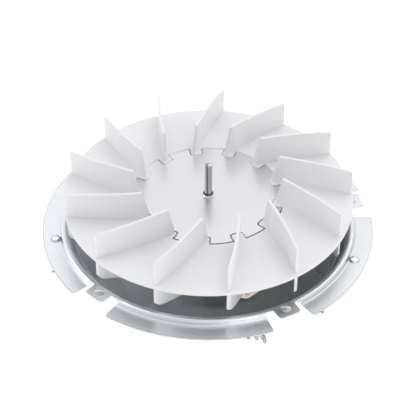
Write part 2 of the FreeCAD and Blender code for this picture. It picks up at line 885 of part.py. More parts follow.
def make_mounting_plate():
    """Pressed plate: dish, rolled rim, flange segments, dimpled tabs, raised screw holes and windows."""
    body = new_body("mounting_plate")
    section = new_sketch(body, "plate_section", "XZ_Plane")
    section.addGeometry(plate_section(), False)
    revolve(body, "plate_dish", section)
    pocket(body, "notches", notch_sketch(body))

    round_segments(body)
    add_nibs(body)

    thickness = size.sheet_thickness.value
    tabs = tab_sketch(body, rim_top - size.sheet_thickness)
    body.Tip = pad(body, "tabs", tabs, size.sheet_thickness)

    height = size.dimple_height.value
    sphere = (size.dimple_radius.value ** 2 + height ** 2) / (2 * height)
    for number, angle in enumerate(tab_angles, start=1):
        place = polar(plate_radius - size.dimple_inset, angle)
        add_cap(body, f"dimple_{number}", "Additive", place + Vector(0, 0, rim_top.value), sphere, height)
        under = place + Vector(0, 0, rim_top.value - thickness)
        add_cap(body, f"dimple_hollow_{number}", "Subtractive", under, sphere, height)

    crown = size.screw_hole_diameter.value / 2 + size.screw_boss_wall.value
    foot = size.screw_boss_diameter.value / 2
    raised = size.screw_boss_height.value
    wall = size.screw_boss_wall.value
    for number, side in enumerate((-1, 1), start=1):
        place = polar(screw_hole_place, -90 + side * size.screw_hole_half_angle.value)
        top = place + Vector(0, 0, flange_top.value)
        add_cone(body, f"boss_{number}", "Additive", top, foot, crown, raised)
        under = top - Vector(0, 0, thickness)
        add_cone(body, f"boss_hollow_{number}", "Subtractive", under, foot - wall, crown - wall, raised)
    holes = new_sketch(body, "floor_and_screw_holes")
    for side in (-1, 1):
        place = polar(screw_hole_place, -90 + side * size.screw_hole_half_angle.value)
        circle(holes, place.x, place.y, size.screw_hole_diameter / 2)
        place = motor_point(0, screw_place.value * side)
        circle(holes, place.x, place.y, screw_bore_radius)
        holes.addGeometry(air_slot_edges(side), False)
    holes.addGeometry(coil_window_edges(), False)
    pocket(body, "holes", holes)


# Stator: laminations, coil and terminals


def make_stator_core():
    """C-shaped stack: the rotor bore in the yoke and two legs that reach to the coil limb."""
    body = new_body("stator_core")
    body.Placement = motor_placement()
    sketch = new_sketch(body, "stator_lamination", level=stack_bottom)
    half = size.stack_width / 2
    cut = size.stack_corner
    polygon(sketch, [
        (cut - size.stack_back, -half),
        (limb_end, -half),
        (limb_end, -leg_inner),
        (size.window_start, -leg_inner),
        (size.window_start, leg_inner),
        (limb_end, leg_inner),
        (limb_end, half),
        (cut - size.stack_back, half),
        (-size.stack_back, half - cut),
        (-size.stack_back, cut - half),
    ])
    circle(sketch, 0, 0, rotor_bore_radius)
    for x, y in rivet_places():
        circle(sketch, x, y, size.rivet_diameter / 2 + size.rivet_hole_clearance)
    for side in (-1, 1):
        circle(sketch, 0, screw_place * side, screw_bore_radius)
        for turn in (0, 180):
            for radius in (shading_ring_inner, shading_ring_outer):
                place = polar(radius, turn + side * (90 - size.shading_ring_angle.value))
                circle(sketch, place.x, place.y,
                       size.shading_ring_diameter / 2 + size.shading_hole_clearance)
    pad(body, "stator_stack", sketch, size.stack_thickness)


def rivet_places():
    """The rivets sit in the yoke's back and in the ends of the two legs."""
    half = size.stack_width / 2
    places = []
    for side in (-1, 1):
        places.append((size.rivet_back_inset - size.stack_back, (half - size.rivet_side_inset) * side))
        places.append((limb_end - size.rivet_front_inset, (half - size.leg_width / 2) * side))
    return places


def make_stack_rivets():
    """Rivets that clamp the laminations, with a low domed head on each face."""
    head = size.rivet_head_diameter.value / 2
    height = size.rivet_head_height.value
    dome = (head ** 2 + height ** 2) / (2 * height)
    half = size.stack_thickness.value / 2
    rivets = []
    for x, y in rivet_places():
        place = Vector(x.value, y.value, 0)
        foot = place - Vector(0, 0, half)
        rivet = Part.makeCylinder(size.rivet_diameter.value / 2, 2 * half, foot)
        for outward in (-1, 1):
            face = place + Vector(0, 0, half * outward)
            ball = Part.makeSphere(dome, face - Vector(0, 0, (dome - height) * outward))
            slab = Part.makeCylinder(head, height, face, Vector(0, 0, outward))
            rivet = rivet.fuse(ball.common(slab))
        rivets.append(rivet.removeSplitter())
    plain_feature("stack_rivets", Part.makeCompound(rivets), motor_placement(stack_middle))


def make_coil_limb():
    body = new_body("coil_limb")
    body.Placement = motor_placement()
    sketch = new_sketch(body, "limb_lamination", level=stack_bottom)
    polygon(sketch, [
        (size.limb_start, -leg_inner),
        (limb_end, -leg_inner),
        (limb_end, leg_inner),
        (size.limb_start, leg_inner),
    ])
    pad(body, "limb_stack", sketch, size.stack_thickness)


def spool_layer(inner_growth, outer_growth, half_length, corner):
    """Rounded rectangular tube round the coil limb, between two offsets from the limb's faces."""
    def block(growth, rounding):
        width = size.limb_width.value + 2 * growth
        height = size.stack_thickness.value + 2 * growth
        centre_x = size.limb_start.value + size.limb_width.value / 2
        corners = [
            Vector(centre_x - width / 2, -half_length, -height / 2),
            Vector(centre_x + width / 2, -half_length, -height / 2),
            Vector(centre_x + width / 2, -half_length, height / 2),
            Vector(centre_x - width / 2, -half_length, height / 2),
        ]
        wire = Part.Wire([edge.toShape() for edge in rounded([(point, rounding) for point in corners])])
        return Part.Face(wire).extrude(Vector(0, 2 * half_length, 0))

    inner_rounding = max(corner - (outer_growth - inner_growth), 0.0)
    return block(outer_growth, corner).cut(block(inner_growth, inner_rounding))


def make_bobbin():
    """Moulded bobbin: a tube round the limb, a flange at each end and the terminal block."""
    wall = size.bobbin_wall.value
    coil_growth = wall + size.winding_depth.value + size.wrap_thickness.value
    flange_growth = coil_growth + size.bobbin_flange_overhang.value
    thickness = size.bobbin_flange_thickness.value
    reach = coil_half_length.value + thickness
    shape = spool_layer(0.0, wall, coil_half_length.value + thickness / 2, 0.0)
    for side in (-1, 1):
        flange = spool_layer(0.0, flange_growth, thickness / 2, size.bobbin_corner.value)
        flange.translate(Vector(0, side * (reach - thickness / 2), 0))
        shape = shape.fuse(flange)
    shape = shape.fuse(terminal_block())
    plain_feature("bobbin", shape.removeSplitter(), motor_placement(stack_middle))


def terminal_block_face():
    """Distance from the shaft to the terminal block's outer face."""
    return coil_outer.value + size.bobbin_flange_overhang.value + size.terminal_block_depth.value


def terminal_level():
    """Height of the terminals' middle, from the middle of the stack."""
    return -size.terminal_drop.value


def terminal_block():
    """Block outside the coil and the stack's leg, with a pocket for each terminal's root."""
    flange_face = -bobbin_half_length.value
    inner_face = flange_face + size.bobbin_flange_thickness.value / 2
    side = flange_face - size.terminal_block_width.value
    height = size.terminal_block_height.value
    foot = terminal_level() - size.terminal_width.value / 2 - size.terminal_block_foot.value
    face = terminal_block_face()
    clear_of_leg = limb_end.value + size.bobbin_end_gap.value
    corner = Vector(clear_of_leg, side, foot)
    beside = Part.makeBox(face - clear_of_leg, inner_face - side, height, corner)
    depth = size.terminal_block_depth.value
    across = flange_face + size.terminal_block_inset.value - side
    block = beside.fuse(Part.makeBox(depth, across, height, Vector(face - depth, side, foot)))
    for index in range(2):
        block = block.cut(terminal_solid(index, size.running_clearance.value))
    return block


def terminal_solid(index, growth=0.0):
    """Spade terminal that stands on edge: a flat tab with a tapered tip and a round catch hole."""
    half = size.terminal_width.value / 2 + growth
    thickness = size.terminal_thickness.value + 2 * growth
    reach = size.terminal_reach.value + size.terminal_stagger.value * (1 - index)
    taper = half / 2
    root = -size.terminal_root.value - growth
    outline = rounded([
        (Vector(root, 0, -half), 0),
        (Vector(reach - taper, 0, -half), 0),
        (Vector(reach, 0, -half + taper), 0),
        (Vector(reach, 0, half - taper), 0),
        (Vector(reach - taper, 0, half), 0),
        (Vector(root, 0, half), 0),
    ])
    blade = Part.Face(Part.Wire([edge.toShape() for edge in outline])).extrude(Vector(0, thickness, 0))
    blade.translate(Vector(0, -thickness / 2, 0))
    if growth == 0:
        catch_place = Vector(reach - 2 * taper, -thickness, 0)
        blade = blade.cut(Part.makeCylinder(half / 3, thickness * 2, catch_place, Vector(0, 1, 0)))
    blade.rotate(Vector(0, 0, 0), Vector(0, 0, 1), -size.terminal_lean_angle.value)
    place = -bobbin_half_length.value + (size.terminal_pitch.value / 2) * (1 - 2 * index)
    blade.translate(Vector(terminal_block_face(), place, terminal_level()))
    return blade


def make_terminals():
    for index, name in enumerate(("live_terminal", "neutral_terminal")):
        plain_feature(name, terminal_solid(index), motor_placement(stack_middle))


def make_winding():
    wall = size.bobbin_wall.value
    depth = size.winding_depth.value
    wrap = size.wrap_thickness.value
    corner = size.winding_corner.value
    half = coil_half_length.value
    placement = motor_placement(stack_middle)
    plain_feature("winding", spool_layer(wall, wall + depth, half, corner), placement)
    layer = spool_layer(wall + depth, wall + depth + wrap, half, corner + wrap)
    plain_feature("winding_wrap", layer, placement)


def make_shading_rings():
    """Four closed copper loops, each through two holes of the stack and across its faces."""
    wire = size.shading_ring_diameter.value / 2
    gap = size.shading_ring_stand_off.value + wire
    height = size.stack_thickness.value + 2 * gap
    loops = []
    for side in (-1, 1):
        for turn in (0, 180):
            angle = turn + side * (90 - size.shading_ring_angle.value)
            near = polar(shading_ring_inner, angle)
            far = polar(shading_ring_outer, angle)
            loops.append(closed_loop(near, far, height, wire))
    plain_feature("shading_rings", Part.makeCompound(loops), motor_placement(stack_middle))


def closed_loop(near, far, height, wire):
    """Round-section loop: two upright legs joined across the top and the bottom."""
    span = far - near
    solid = None
    for level in (-height / 2, height / 2):
        start = Vector(near.x, near.y, level)
        bar = Part.makeCylinder(wire, span.Length, start, span)
        for end in (near, far):
            bar = bar.fuse(Part.makeSphere(wire, Vector(end.x, end.y, level)))
        solid = bar if solid is None else solid.fuse(bar)
    for end in (near, far):
        solid = solid.fuse(Part.makeCylinder(wire, height, Vector(end.x, end.y, -height / 2)))
    return solid.removeSplitter()


# Stator: bearings and brackets, built above the stack's face and turned over for the lower one


def bracket_placements(piece):
    """The upper and the lower copy of a piece that is built outward from the stack's face."""
    flip = Rotation(Vector(1, 0, 0), 180)
    upper = motor_placement(stack_top)
    lower = Placement(Vector(0, 0, stack_bottom.value), motor_placement().Rotation.multiply(flip))
    return ((f"upper_{piece}", upper), (f"lower_{piece}", lower))


def make_bearings():
    """Self-aligning bearing: a ball with flat ends and the shaft's bore."""
    radius = size.bearing_diameter.value / 2
    half = size.bearing_length.value / 2
    middle = Vector(0, 0, bearing_start.value + half)
    bore = shaft_radius.value + size.running_clearance.value
    for name, placement in bracket_placements("bearing"):
        ball = Part.makeSphere(radius, middle)
        slab = Part.makeCylinder(radius, 2 * half, middle - Vector(0, 0, half))
        hole = Part.makeCylinder(bore, 4 * half, middle - Vector(0, 0, 2 * half))
        plain_feature(name, ball.common(slab).cut(hole), placement)


def make_felts():
    outer = size.felt_diameter.value / 2
    ball = size.bearing_diameter.value / 2 + size.insert_gap.value / 2
    middle = bearing_start.value + size.bearing_length.value / 2
    half = size.felt_length.value / 2
    for name, placement in bracket_placements("felt"):
        ring = Part.makeCylinder(outer, 2 * half, Vector(0, 0, middle - half))
        hole = Part.makeCylinder(ball, 4 * half, Vector(0, 0, middle - 2 * half))
        plain_feature(name, ring.cut(hole), placement)


def make_retainers():
    """Spring washer pressed into the bracket's pocket, which keeps the bearing and the felt in."""
    outer = pocket_radius.value
    thickness = size.retainer_thickness.value
    middle = bearing_start.value + size.bearing_length.value / 2
    level = middle - size.felt_length.value / 2 - thickness
    ball = size.bearing_diameter.value / 2
    below = middle - level
    hole = math.sqrt(ball ** 2 - (below - thickness) ** 2) + size.insert_gap.value / 2
    for name, placement in bracket_placements("retainer"):
        washer = Part.makeCylinder(outer, thickness, Vector(0, 0, level))
        opening = Part.makeCylinder(hole, 3 * thickness, Vector(0, 0, level - thickness))
        plain_feature(name, washer.cut(opening), placement)


def make_brackets():
    """Pressed bridge: two ears on the stack, arms that rise over the rotor and a boss for the bearing."""
    half_pitch = screw_place.value
    ear = size.bracket_width.value / 2
    thickness = size.bracket_thickness.value
    felt_half = size.felt_length.value / 2
    middle = bearing_start.value + size.bearing_length.value / 2
    pocket_floor = middle + felt_half + size.end_play.value
    bridge_low = size.end_ring_height.value + size.end_play.value + size.washer_thickness.value
    rise_start = rotor_radius.value + size.bracket_arm_clearance.value
    rise_end = rise_start - bridge_low
    section = thickened([
        (-half_pitch - ear, thickness / 2, 0),
        (-rise_start, thickness / 2, thickness),
        (-rise_end, bridge_low + thickness / 2, thickness),
        (rise_end, bridge_low + thickness / 2, thickness),
        (rise_start, thickness / 2, thickness),
        (half_pitch + ear, thickness / 2, 0),
    ], thickness)
    stand = Rotation(Vector(0, 1, 0), Vector(0, 0, 1), Vector(1, 0, 0), "ZXY")
    wire = Part.Wire([edge.toShape() for edge in section])
    wire.Placement = Placement(Vector(-ear, 0, 0), stand)
    strip = Part.Face(wire).extrude(Vector(2 * ear, 0, 0))
    height = boss_end.value
    plan = Part.makeBox(2 * ear, 2 * half_pitch, 2 * height, Vector(-ear, -half_pitch, -height))
    for side in (-1, 1):
        plan = plan.fuse(Part.makeCylinder(ear, 2 * height, Vector(0, side * half_pitch, -height)))
    shape = strip.common(plan)
    boss = Part.makeCylinder(boss_radius.value, height - bridge_low, Vector(0, 0, bridge_low))
    shape = shape.fuse(boss)
    shape = shape.cut(Part.makeCylinder(pocket_radius.value, pocket_floor, Vector(0, 0, 0)))
    seat_radius = size.bearing_diameter.value / 2 + size.running_clearance.value
    shape = shape.cut(Part.makeSphere(seat_radius, Vector(0, 0, middle)))
    shaft_hole = shaft_radius.value + size.insert_gap.value
    shape = shape.cut(Part.makeCylinder(shaft_hole, boss_end.value * 2, Vector(0, 0, 0)))
    for side in (-1, 1):
        foot = Vector(0, side * half_pitch, -thickness)
        shape = shape.cut(Part.makeCylinder(screw_bore_radius.value, boss_end.value, foot))
    for name, placement in bracket_placements("bracket"):
        plain_feature(name, shape.removeSplitter(), placement)


# Stator: spacers, screws and nuts


def screw_places():
    return [Vector(0, side * screw_place.value, 0) for side in (-1, 1)]


def make_plate_spacers():
    bottom = stack_top.value + size.bracket_thickness.value
    length = floor_bottom.value - bottom
    tubes = []
    for place in screw_places():
        base = place + Vector(0, 0, bottom)
        tube = Part.makeCylinder(size.spacer_diameter.value / 2, length, base)
        tubes.append(tube.cut(Part.makeCylinder(screw_bore_radius.value, length, base)))
    plain_feature("plate_spacers", Part.makeCompound(tubes), motor_placement())


def nut_bottom():
    return stack_bottom.value - size.bracket_thickness.value - size.nut_height.value


def make_motor_screws():
    """Pan-head screws with a cross recess, from the plate's floor to the nuts."""
    radius = size.screw_diameter.value / 2
    head = size.screw_head_diameter.value / 2
    height = size.screw_head_height.value
    bottom = nut_bottom() - size.screw_tail.value
    screws = []
    for place in screw_places():
        shank_length = floor_top.value - bottom
        shank = Part.makeCylinder(radius, shank_length, place + Vector(0, 0, bottom))
        cap = Part.makeCylinder(head, height, place + Vector(0, 0, floor_top.value))
        crown = floor_top.value + height
        rim = [edge for edge in cap.Edges if abs(edge.CenterOfMass.z - crown) < TOLERANCE]
        cap = cap.makeFillet(size.screw_head_corner.value, [rim[0]])
        width = size.screw_recess_width.value
        for along in (0, 90):
            slot = Part.makeBox(head, width, height, Vector(-head / 2, -width / 2, 0))
            slot.rotate(Vector(0, 0, 0), Vector(0, 0, 1), along)
            slot.translate(place + Vector(0, 0, crown - size.screw_recess_depth.value))
            cap = cap.cut(slot)
        screws.append(shank.fuse(cap).removeSplitter())
    plain_feature("motor_screws", Part.makeCompound(screws), motor_placement())


def make_motor_nuts():
    flats = size.nut_across_flats.value
    height = size.nut_height.value
    nuts = []
    for place in screw_places():
        base = place + Vector(0, 0, nut_bottom())
        corners = [base + polar(flats / math.sqrt(3), 60 * index) for index in range(7)]
        nut = Part.Face(Part.makePolygon(corners)).extrude(Vector(0, 0, height))
        face = flats / 2 - size.nut_face_inset.value
        nut = nut.common(Part.makeCone(face, face + height * CHAMFER_SLOPE, height, base))
        nuts.append(nut.cut(Part.makeCylinder(size.screw_diameter.value / 2, height, base)))
    plain_feature("motor_nuts", Part.makeCompound(nuts), motor_placement())


def check_document():
    """Stops if any object of the document failed or any piece has no valid solid."""
    for item in doc.Objects:
        if "Invalid" in item.State or "Error" in item.State:
            raise RuntimeError(f"{item.Label} did not compute: {item.State}")
    for piece in made:
        shape = piece.Shape
        if shape.isNull() or not shape.isValid() or not shape.Solids:
            raise RuntimeError(f"{piece.Label} has no valid solid")


def main():
    make_shaft()
    make_hub_bush()
    make_hub_disc()
    make_impeller()
    make_rotor_core()
    make_rotor_cage()
    make_washers()
    make_mounting_plate()
    make_stator_core()
    make_stack_rivets()
    make_coil_limb()
    make_bobbin()
    make_terminals()
    make_winding()
    make_shading_rings()
    make_bearings()
    make_felts()
    make_retainers()
    make_brackets()
    make_plate_spacers()
    make_motor_screws()
    make_motor_nuts()
    doc.recompute()
    check_document()
    os.makedirs("parts", exist_ok=True)
    for piece in made:
        piece.Shape.exportStep(f"parts/{piece.Label}.step")
        print(piece.Label, len(piece.Shape.Solids), round(piece.Shape.Volume, 1))


main()
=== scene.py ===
import math

import bpy
from mathutils import Matrix, Vector


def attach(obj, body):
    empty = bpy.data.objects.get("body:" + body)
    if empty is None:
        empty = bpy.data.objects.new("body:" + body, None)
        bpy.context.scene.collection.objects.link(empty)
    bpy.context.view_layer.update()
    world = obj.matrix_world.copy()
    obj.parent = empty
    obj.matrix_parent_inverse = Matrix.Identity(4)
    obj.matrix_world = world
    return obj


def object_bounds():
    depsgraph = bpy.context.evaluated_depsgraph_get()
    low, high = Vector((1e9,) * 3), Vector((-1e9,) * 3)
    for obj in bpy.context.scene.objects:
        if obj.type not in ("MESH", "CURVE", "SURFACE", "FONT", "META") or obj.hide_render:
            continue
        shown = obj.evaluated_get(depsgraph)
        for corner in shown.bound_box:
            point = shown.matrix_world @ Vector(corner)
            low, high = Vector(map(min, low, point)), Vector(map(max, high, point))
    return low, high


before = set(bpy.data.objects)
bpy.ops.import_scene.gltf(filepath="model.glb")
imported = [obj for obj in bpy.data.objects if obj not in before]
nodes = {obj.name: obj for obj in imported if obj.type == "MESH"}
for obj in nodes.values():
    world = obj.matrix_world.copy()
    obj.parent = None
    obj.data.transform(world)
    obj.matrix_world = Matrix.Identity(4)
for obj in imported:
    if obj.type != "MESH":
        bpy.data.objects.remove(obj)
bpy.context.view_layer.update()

MM = 0.001
FLOOR_GAP = 0.4 * MM

# Places on the mounting plate
DISH_EDGE = (69.5 * MM, 74.2 * MM)
DISH_RADIUS = 75.0 * MM
OUTLINE_RADIUS = 76.5 * MM
RIM_OUTER_RADIUS = 77.7 * MM
SHEARED_BAND = (86.5 * MM, 86.95 * MM)
TAB_INNER_RADIUS = 76.2 * MM
TAB_LOW = -17.6 * MM
TAB_ANGLES = [232.65 + 72.0 * index for index in range(4)]
SHADED_TAB_ANGLE = TAB_ANGLES[1]
TAB_HALF_ANGLE = 5.2
DIMPLE_PLACE_RADIUS = 78.2 * MM
DIMPLE_REACH = 2.9 * MM
DIMPLE_SLOPES = (0.3, 0.9995)
SCREW_HOLES = [Vector((side * 77.4 * MM, -21.8 * MM)) for side in (-1, 1)]
BOSS_RADIUS = 2.95 * MM
BOSS_CLEARANCE = 3.2 * MM
BOSS_LOW = -20.35 * MM
BOSS_HIGH = -19.0 * MM
BOSS_SHADE_START = 0.8 * MM

# Places on the hub disc
DISC_BORE_LIMIT = 20 * MM
NOTCH_RADIUS = 38.5 * MM
FLASH_FRONT = -8 * MM

# Places on the motor, which is turned about the shaft so that its coil lies at the front right
COIL_TURN = math.radians(320.0)
LONG_SCREW_PLACE = 26.0 * MM
LONG_SCREW_REACH = 2.3 * MM


# Camera, at the photograph's place

CAMERA_PLACE = Vector((49.12, -534.58, 433.62)) * MM
CAMERA_AZIMUTH = 5.25
CAMERA_YAW = 0.108
CAMERA_PITCH = -39.696
CAMERA_ROLL = 0.61
FOCAL_PIXELS = 1331.443
IMAGE_PIXELS = 420


def make_camera():
    data = bpy.data.cameras.new("photo_camera")
    camera = bpy.data.objects.new("photo_camera", data)
    bpy.context.scene.collection.objects.link(camera)
    data.sensor_width = 36.0
    data.lens = FOCAL_PIXELS / IMAGE_PIXELS * data.sensor_width
    data.clip_start = 0.01
    data.clip_end = 20.0
    yaw = math.radians(CAMERA_YAW)
    pitch = math.radians(CAMERA_PITCH)
    ahead = Vector((math.sin(yaw) * math.cos(pitch), math.cos(yaw) * math.cos(pitch), math.sin(pitch)))
    ahead = Matrix.Rotation(math.radians(CAMERA_AZIMUTH), 3, "Z") @ ahead
    right = ahead.cross(Vector((0, 0, 1))).normalized()
    up = right.cross(ahead)
    roll = math.radians(CAMERA_ROLL)
    right, up = right * math.cos(roll) + up * math.sin(roll), up * math.cos(roll) - right * math.sin(roll)
    turn = Matrix((right, up, -ahead)).transposed().to_4x4()
    camera.matrix_world = Matrix.Translation(CAMERA_PLACE) @ turn
    bpy.context.scene.camera = camera


# Materials


WAVE_SCALE = 2.0 * math.pi / 20.0


def fill_ramp(ramp, stops):
    """Gives a colour ramp its stops, each a place and a colour."""
    while len(ramp.elements) < len(stops):
        ramp.elements.new(0.5)
    for element, (place, colour) in zip(ramp.elements, stops):
        element.position = place
        element.color = (*colour, 1.0)


class Nodes:
    """Short calls for one material's node tree."""

    def __init__(self, name):
        self.material = bpy.data.materials.new(name)
        self.material.use_nodes = True
        self.tree = self.material.node_tree
        self.shader = self.tree.nodes["Principled BSDF"]
        self.normal = None

    def add(self, kind, **settings):
        node = self.tree.nodes.new(kind)
        for key, value in settings.items():
            setattr(node, key, value)
        return node

    def link(self, source, target):
        self.tree.links.new(source, target)

    def set(self, **values):
        for key, value in values.items():
            self.shader.inputs[key.replace("_", " ")].default_value = value

    def position(self, scale=(1.0, 1.0, 1.0), rotation=0.0):
        """Object coordinates in metres, scaled and turned about Z."""
        source = self.add("ShaderNodeTexCoord")
        mapping = self.add("ShaderNodeMapping")
        mapping.inputs["Scale"].default_value = scale
        mapping.inputs["Rotation"].default_value = (0.0, 0.0, math.radians(rotation))
        self.link(source.outputs["Object"], mapping.inputs["Vector"])
        return mapping.outputs["Vector"]

    def noise(self, vector, scale, detail=3.0, roughness=0.5):
        node = self.add("ShaderNodeTexNoise")
        node.inputs["Scale"].default_value = scale
        node.inputs["Detail"].default_value = detail
        node.inputs["Roughness"].default_value = roughness
        self.link(vector, node.inputs["Vector"])
        return node.outputs["Fac"]

    def ridges(self, vector, direction, pitch, distortion=0.0):
        """Even ridges across one axis, at a pitch in metres."""
        node = self.add("ShaderNodeTexWave", wave_type="BANDS", bands_direction=direction, wave_profile="SIN")
        node.inputs["Scale"].default_value = WAVE_SCALE / pitch
        node.inputs["Distortion"].default_value = distortion
        self.link(vector, node.inputs["Vector"])
        return node.outputs["Fac"]

    def ramp(self, factor, stops):
        node = self.add("ShaderNodeValToRGB")
        fill_ramp(node.color_ramp, stops)
        self.link(factor, node.inputs["Fac"])
        return node.outputs["Color"]

    def spread(self, factor, low, high):
        """A factor from 0 to 1 stretched to run from low to high."""
        node = self.add("ShaderNodeMapRange")
        node.inputs["To Min"].default_value = low
        node.inputs["To Max"].default_value = high
        self.link(factor, node.inputs["Value"])
        return node.outputs["Result"]

    def fade(self, value, start, end):
        """0 where the value is at start or before it, 1 where it is at end or past it."""
        node = self.add("ShaderNodeMapRange")
        node.inputs["From Min"].default_value = start
        node.inputs["From Max"].default_value = end
        self.link(value, node.inputs["Value"])
        return node.outputs["Result"]

    def combine(self, operation, first, second):
        """Arithmetic on two values, the second of which may be a plain number."""
        node = self.add("ShaderNodeMath", operation=operation)
        self.link(first, node.inputs[0])
        if isinstance(second, float):
            node.inputs[1].default_value = second
        else:
            self.link(second, node.inputs[1])
        return node.outputs["Value"]

    def axis(self, vector, name):
        node = self.add("ShaderNodeSeparateXYZ")
        self.link(vector, node.inputs["Vector"])
        return node.outputs[name]

    def facing(self, name):
        """Part of the surface's normal along one axis."""
        return self.axis(self.add("ShaderNodeNewGeometry").outputs["Normal"], name)

    def radius(self, vector):
        """Distance from the shaft's line."""
        flat = self.add("ShaderNodeVectorMath", operation="MULTIPLY")
        flat.inputs[1].default_value = (1.0, 1.0, 0.0)
        self.link(vector, flat.inputs[0])
        length = self.add("ShaderNodeVectorMath", operation="LENGTH")
        self.link(flat.outputs["Vector"], length.inputs[0])
        return length.outputs["Value"]

    def cells(self, vector, scale):
        """Cells of random tones: the tones, and the distance to each cell's middle."""
        node = self.add("ShaderNodeTexVoronoi")
        node.inputs["Scale"].default_value = scale
        self.link(vector, node.inputs["Vector"])
        tones = self.add("ShaderNodeSeparateColor")
        self.link(node.outputs["Color"], tones.inputs["Color"])
        return tones.outputs, node.outputs["Distance"]

    def specks(self, scale, size, share):
        """Sparse small specks: size and share are parts of one cell."""
        tones, distance = self.cells(self.position(), scale)
        near = self.fade(distance, size, size * 0.5)
        rare = self.combine("GREATER_THAN", tones["Red"], 1.0 - share)
        return self.combine("MULTIPLY", near, rare)

    def mix(self, factor, first, second, kind="MIX"):
        node = self.add("ShaderNodeMix", data_type="RGBA", blend_type=kind)
        if isinstance(factor, float):
            node.inputs[0].default_value = factor
        else:
            self.link(factor, node.inputs[0])
        for socket, value in ((node.inputs[6], first), (node.inputs[7], second)):
            if isinstance(value, tuple):
                socket.default_value = (*value, 1.0)
            else:
                self.link(value, socket)
        return node.outputs[2]

    def bump(self, height, strength, distance):
        """Bumps over the surface, on top of the bumps that it already has."""
        node = self.add("ShaderNodeBump")
        node.inputs["Strength"].default_value = strength
        node.inputs["Distance"].default_value = distance
        self.link(height, node.inputs["Height"])
        if self.normal is not None:
            self.link(self.normal, node.inputs["Normal"])
        self.normal = node.outputs["Normal"]
        self.link(self.normal, self.shader.inputs["Normal"])


SCREW_PITCH = 0.7 * MM
LAMINATION_PITCH = 0.5 * MM
TAPE_PITCH = 0.7 * MM
WIRE_PITCH = 0.45 * MM


def white_plastic():
    """Injection-moulded white plastic: faint cloudiness, a fine satin skin and a few grey specks."""
    m = Nodes("white_plastic")
    where = m.position()
    cloud = m.noise(where, 38.0, 4.0)
    clouded = m.ramp(cloud, [(0.3, (0.768, 0.769, 0.774)), (0.7, (0.803, 0.803, 0.808))])
    m.link(m.mix(m.specks(95.0, 0.042, 0.07), clouded, (0.52, 0.51, 0.50)), m.shader.inputs["Base Color"])
    patch = m.noise(where, 90.0, 3.0)
    m.link(m.spread(patch, 0.34, 0.48), m.shader.inputs["Roughness"])
    m.bump(m.noise(where, 2600.0, 2.0), 0.10, 0.00005)
    m.bump(m.noise(where, 60.0, 2.0), 0.12, 0.0004)
    m.set(IOR=1.49)
    return m.material


def bright_sheet():
    """Bright rolled sheet: very fine parallel rolling lines, light handling marks."""
    m = Nodes("bright_sheet")
    lines = m.noise(m.position((1.0, 60.0, 1.0), 24.0), 60.0, 4.0, 0.6)
    spots = m.noise(m.position(), 160.0, 4.0)
    rolled = m.ramp(lines, [(0.3, (0.72, 0.717, 0.727)), (0.7, (0.752, 0.749, 0.759))])
    m.link(m.mix(m.specks(150.0, 0.05, 0.09), rolled, (0.42, 0.41, 0.42)), m.shader.inputs["Base Color"])
    both = m.mix(0.5, lines, spots)
    m.link(m.spread(both, 0.26, 0.36), m.shader.inputs["Roughness"])
    m.set(Metallic=1.0)
    m.bump(lines, 0.03, 0.00002)
    m.bump(m.noise(m.position(), 25.0, 2.0), 0.06, 0.0003)
    return m.material


def ground_steel():
    """Ground shaft: painted reflection bands, dark to bright, running along it, with faint rings of grinding
    marks.
    """
    m = Nodes("ground_steel")
    reflection_bands = m.noise(m.position((1.0, 1.0, 0.01)), 1150.0, 2.0, 0.5)
    rings = m.noise(m.position((1.0, 1.0, 40.0)), 120.0, 3.0, 0.6)
    # Dark and bright bands along the shaft: painted reflection.
    lines = m.ramp(reflection_bands, [
        (0.36, (0.14, 0.14, 0.145)), (0.5, (0.43, 0.43, 0.44)), (0.62, (0.90, 0.90, 0.91)),
    ])
    m.link(m.mix(0.15, lines, m.ramp(rings, [(0.3, (0.2, 0.2, 0.2)), (0.7, (0.6, 0.6, 0.6))])),
           m.shader.inputs["Base Color"])
    m.link(m.spread(rings, 0.10, 0.2), m.shader.inputs["Roughness"])
    m.set(Metallic=1.0)
    m.bump(rings, 0.05, 0.00002)
    return m.material


def turned_steel():
    """Turned steel: rings of tool marks round the piece."""
    m = Nodes("turned_steel")
    rings = m.noise(m.position((1.0, 1.0, 40.0)), 120.0, 3.0, 0.6)
    tones = m.ramp(rings, [(0.3, (0.56, 0.56, 0.56)), (0.65, (0.72, 0.72, 0.72))])
    m.link(tones, m.shader.inputs["Base Color"])
    m.link(m.spread(rings, 0.16, 0.3), m.shader.inputs["Roughness"])
    m.set(Metallic=1.0)
    m.bump(rings, 0.08, 0.00003)
    return m.material


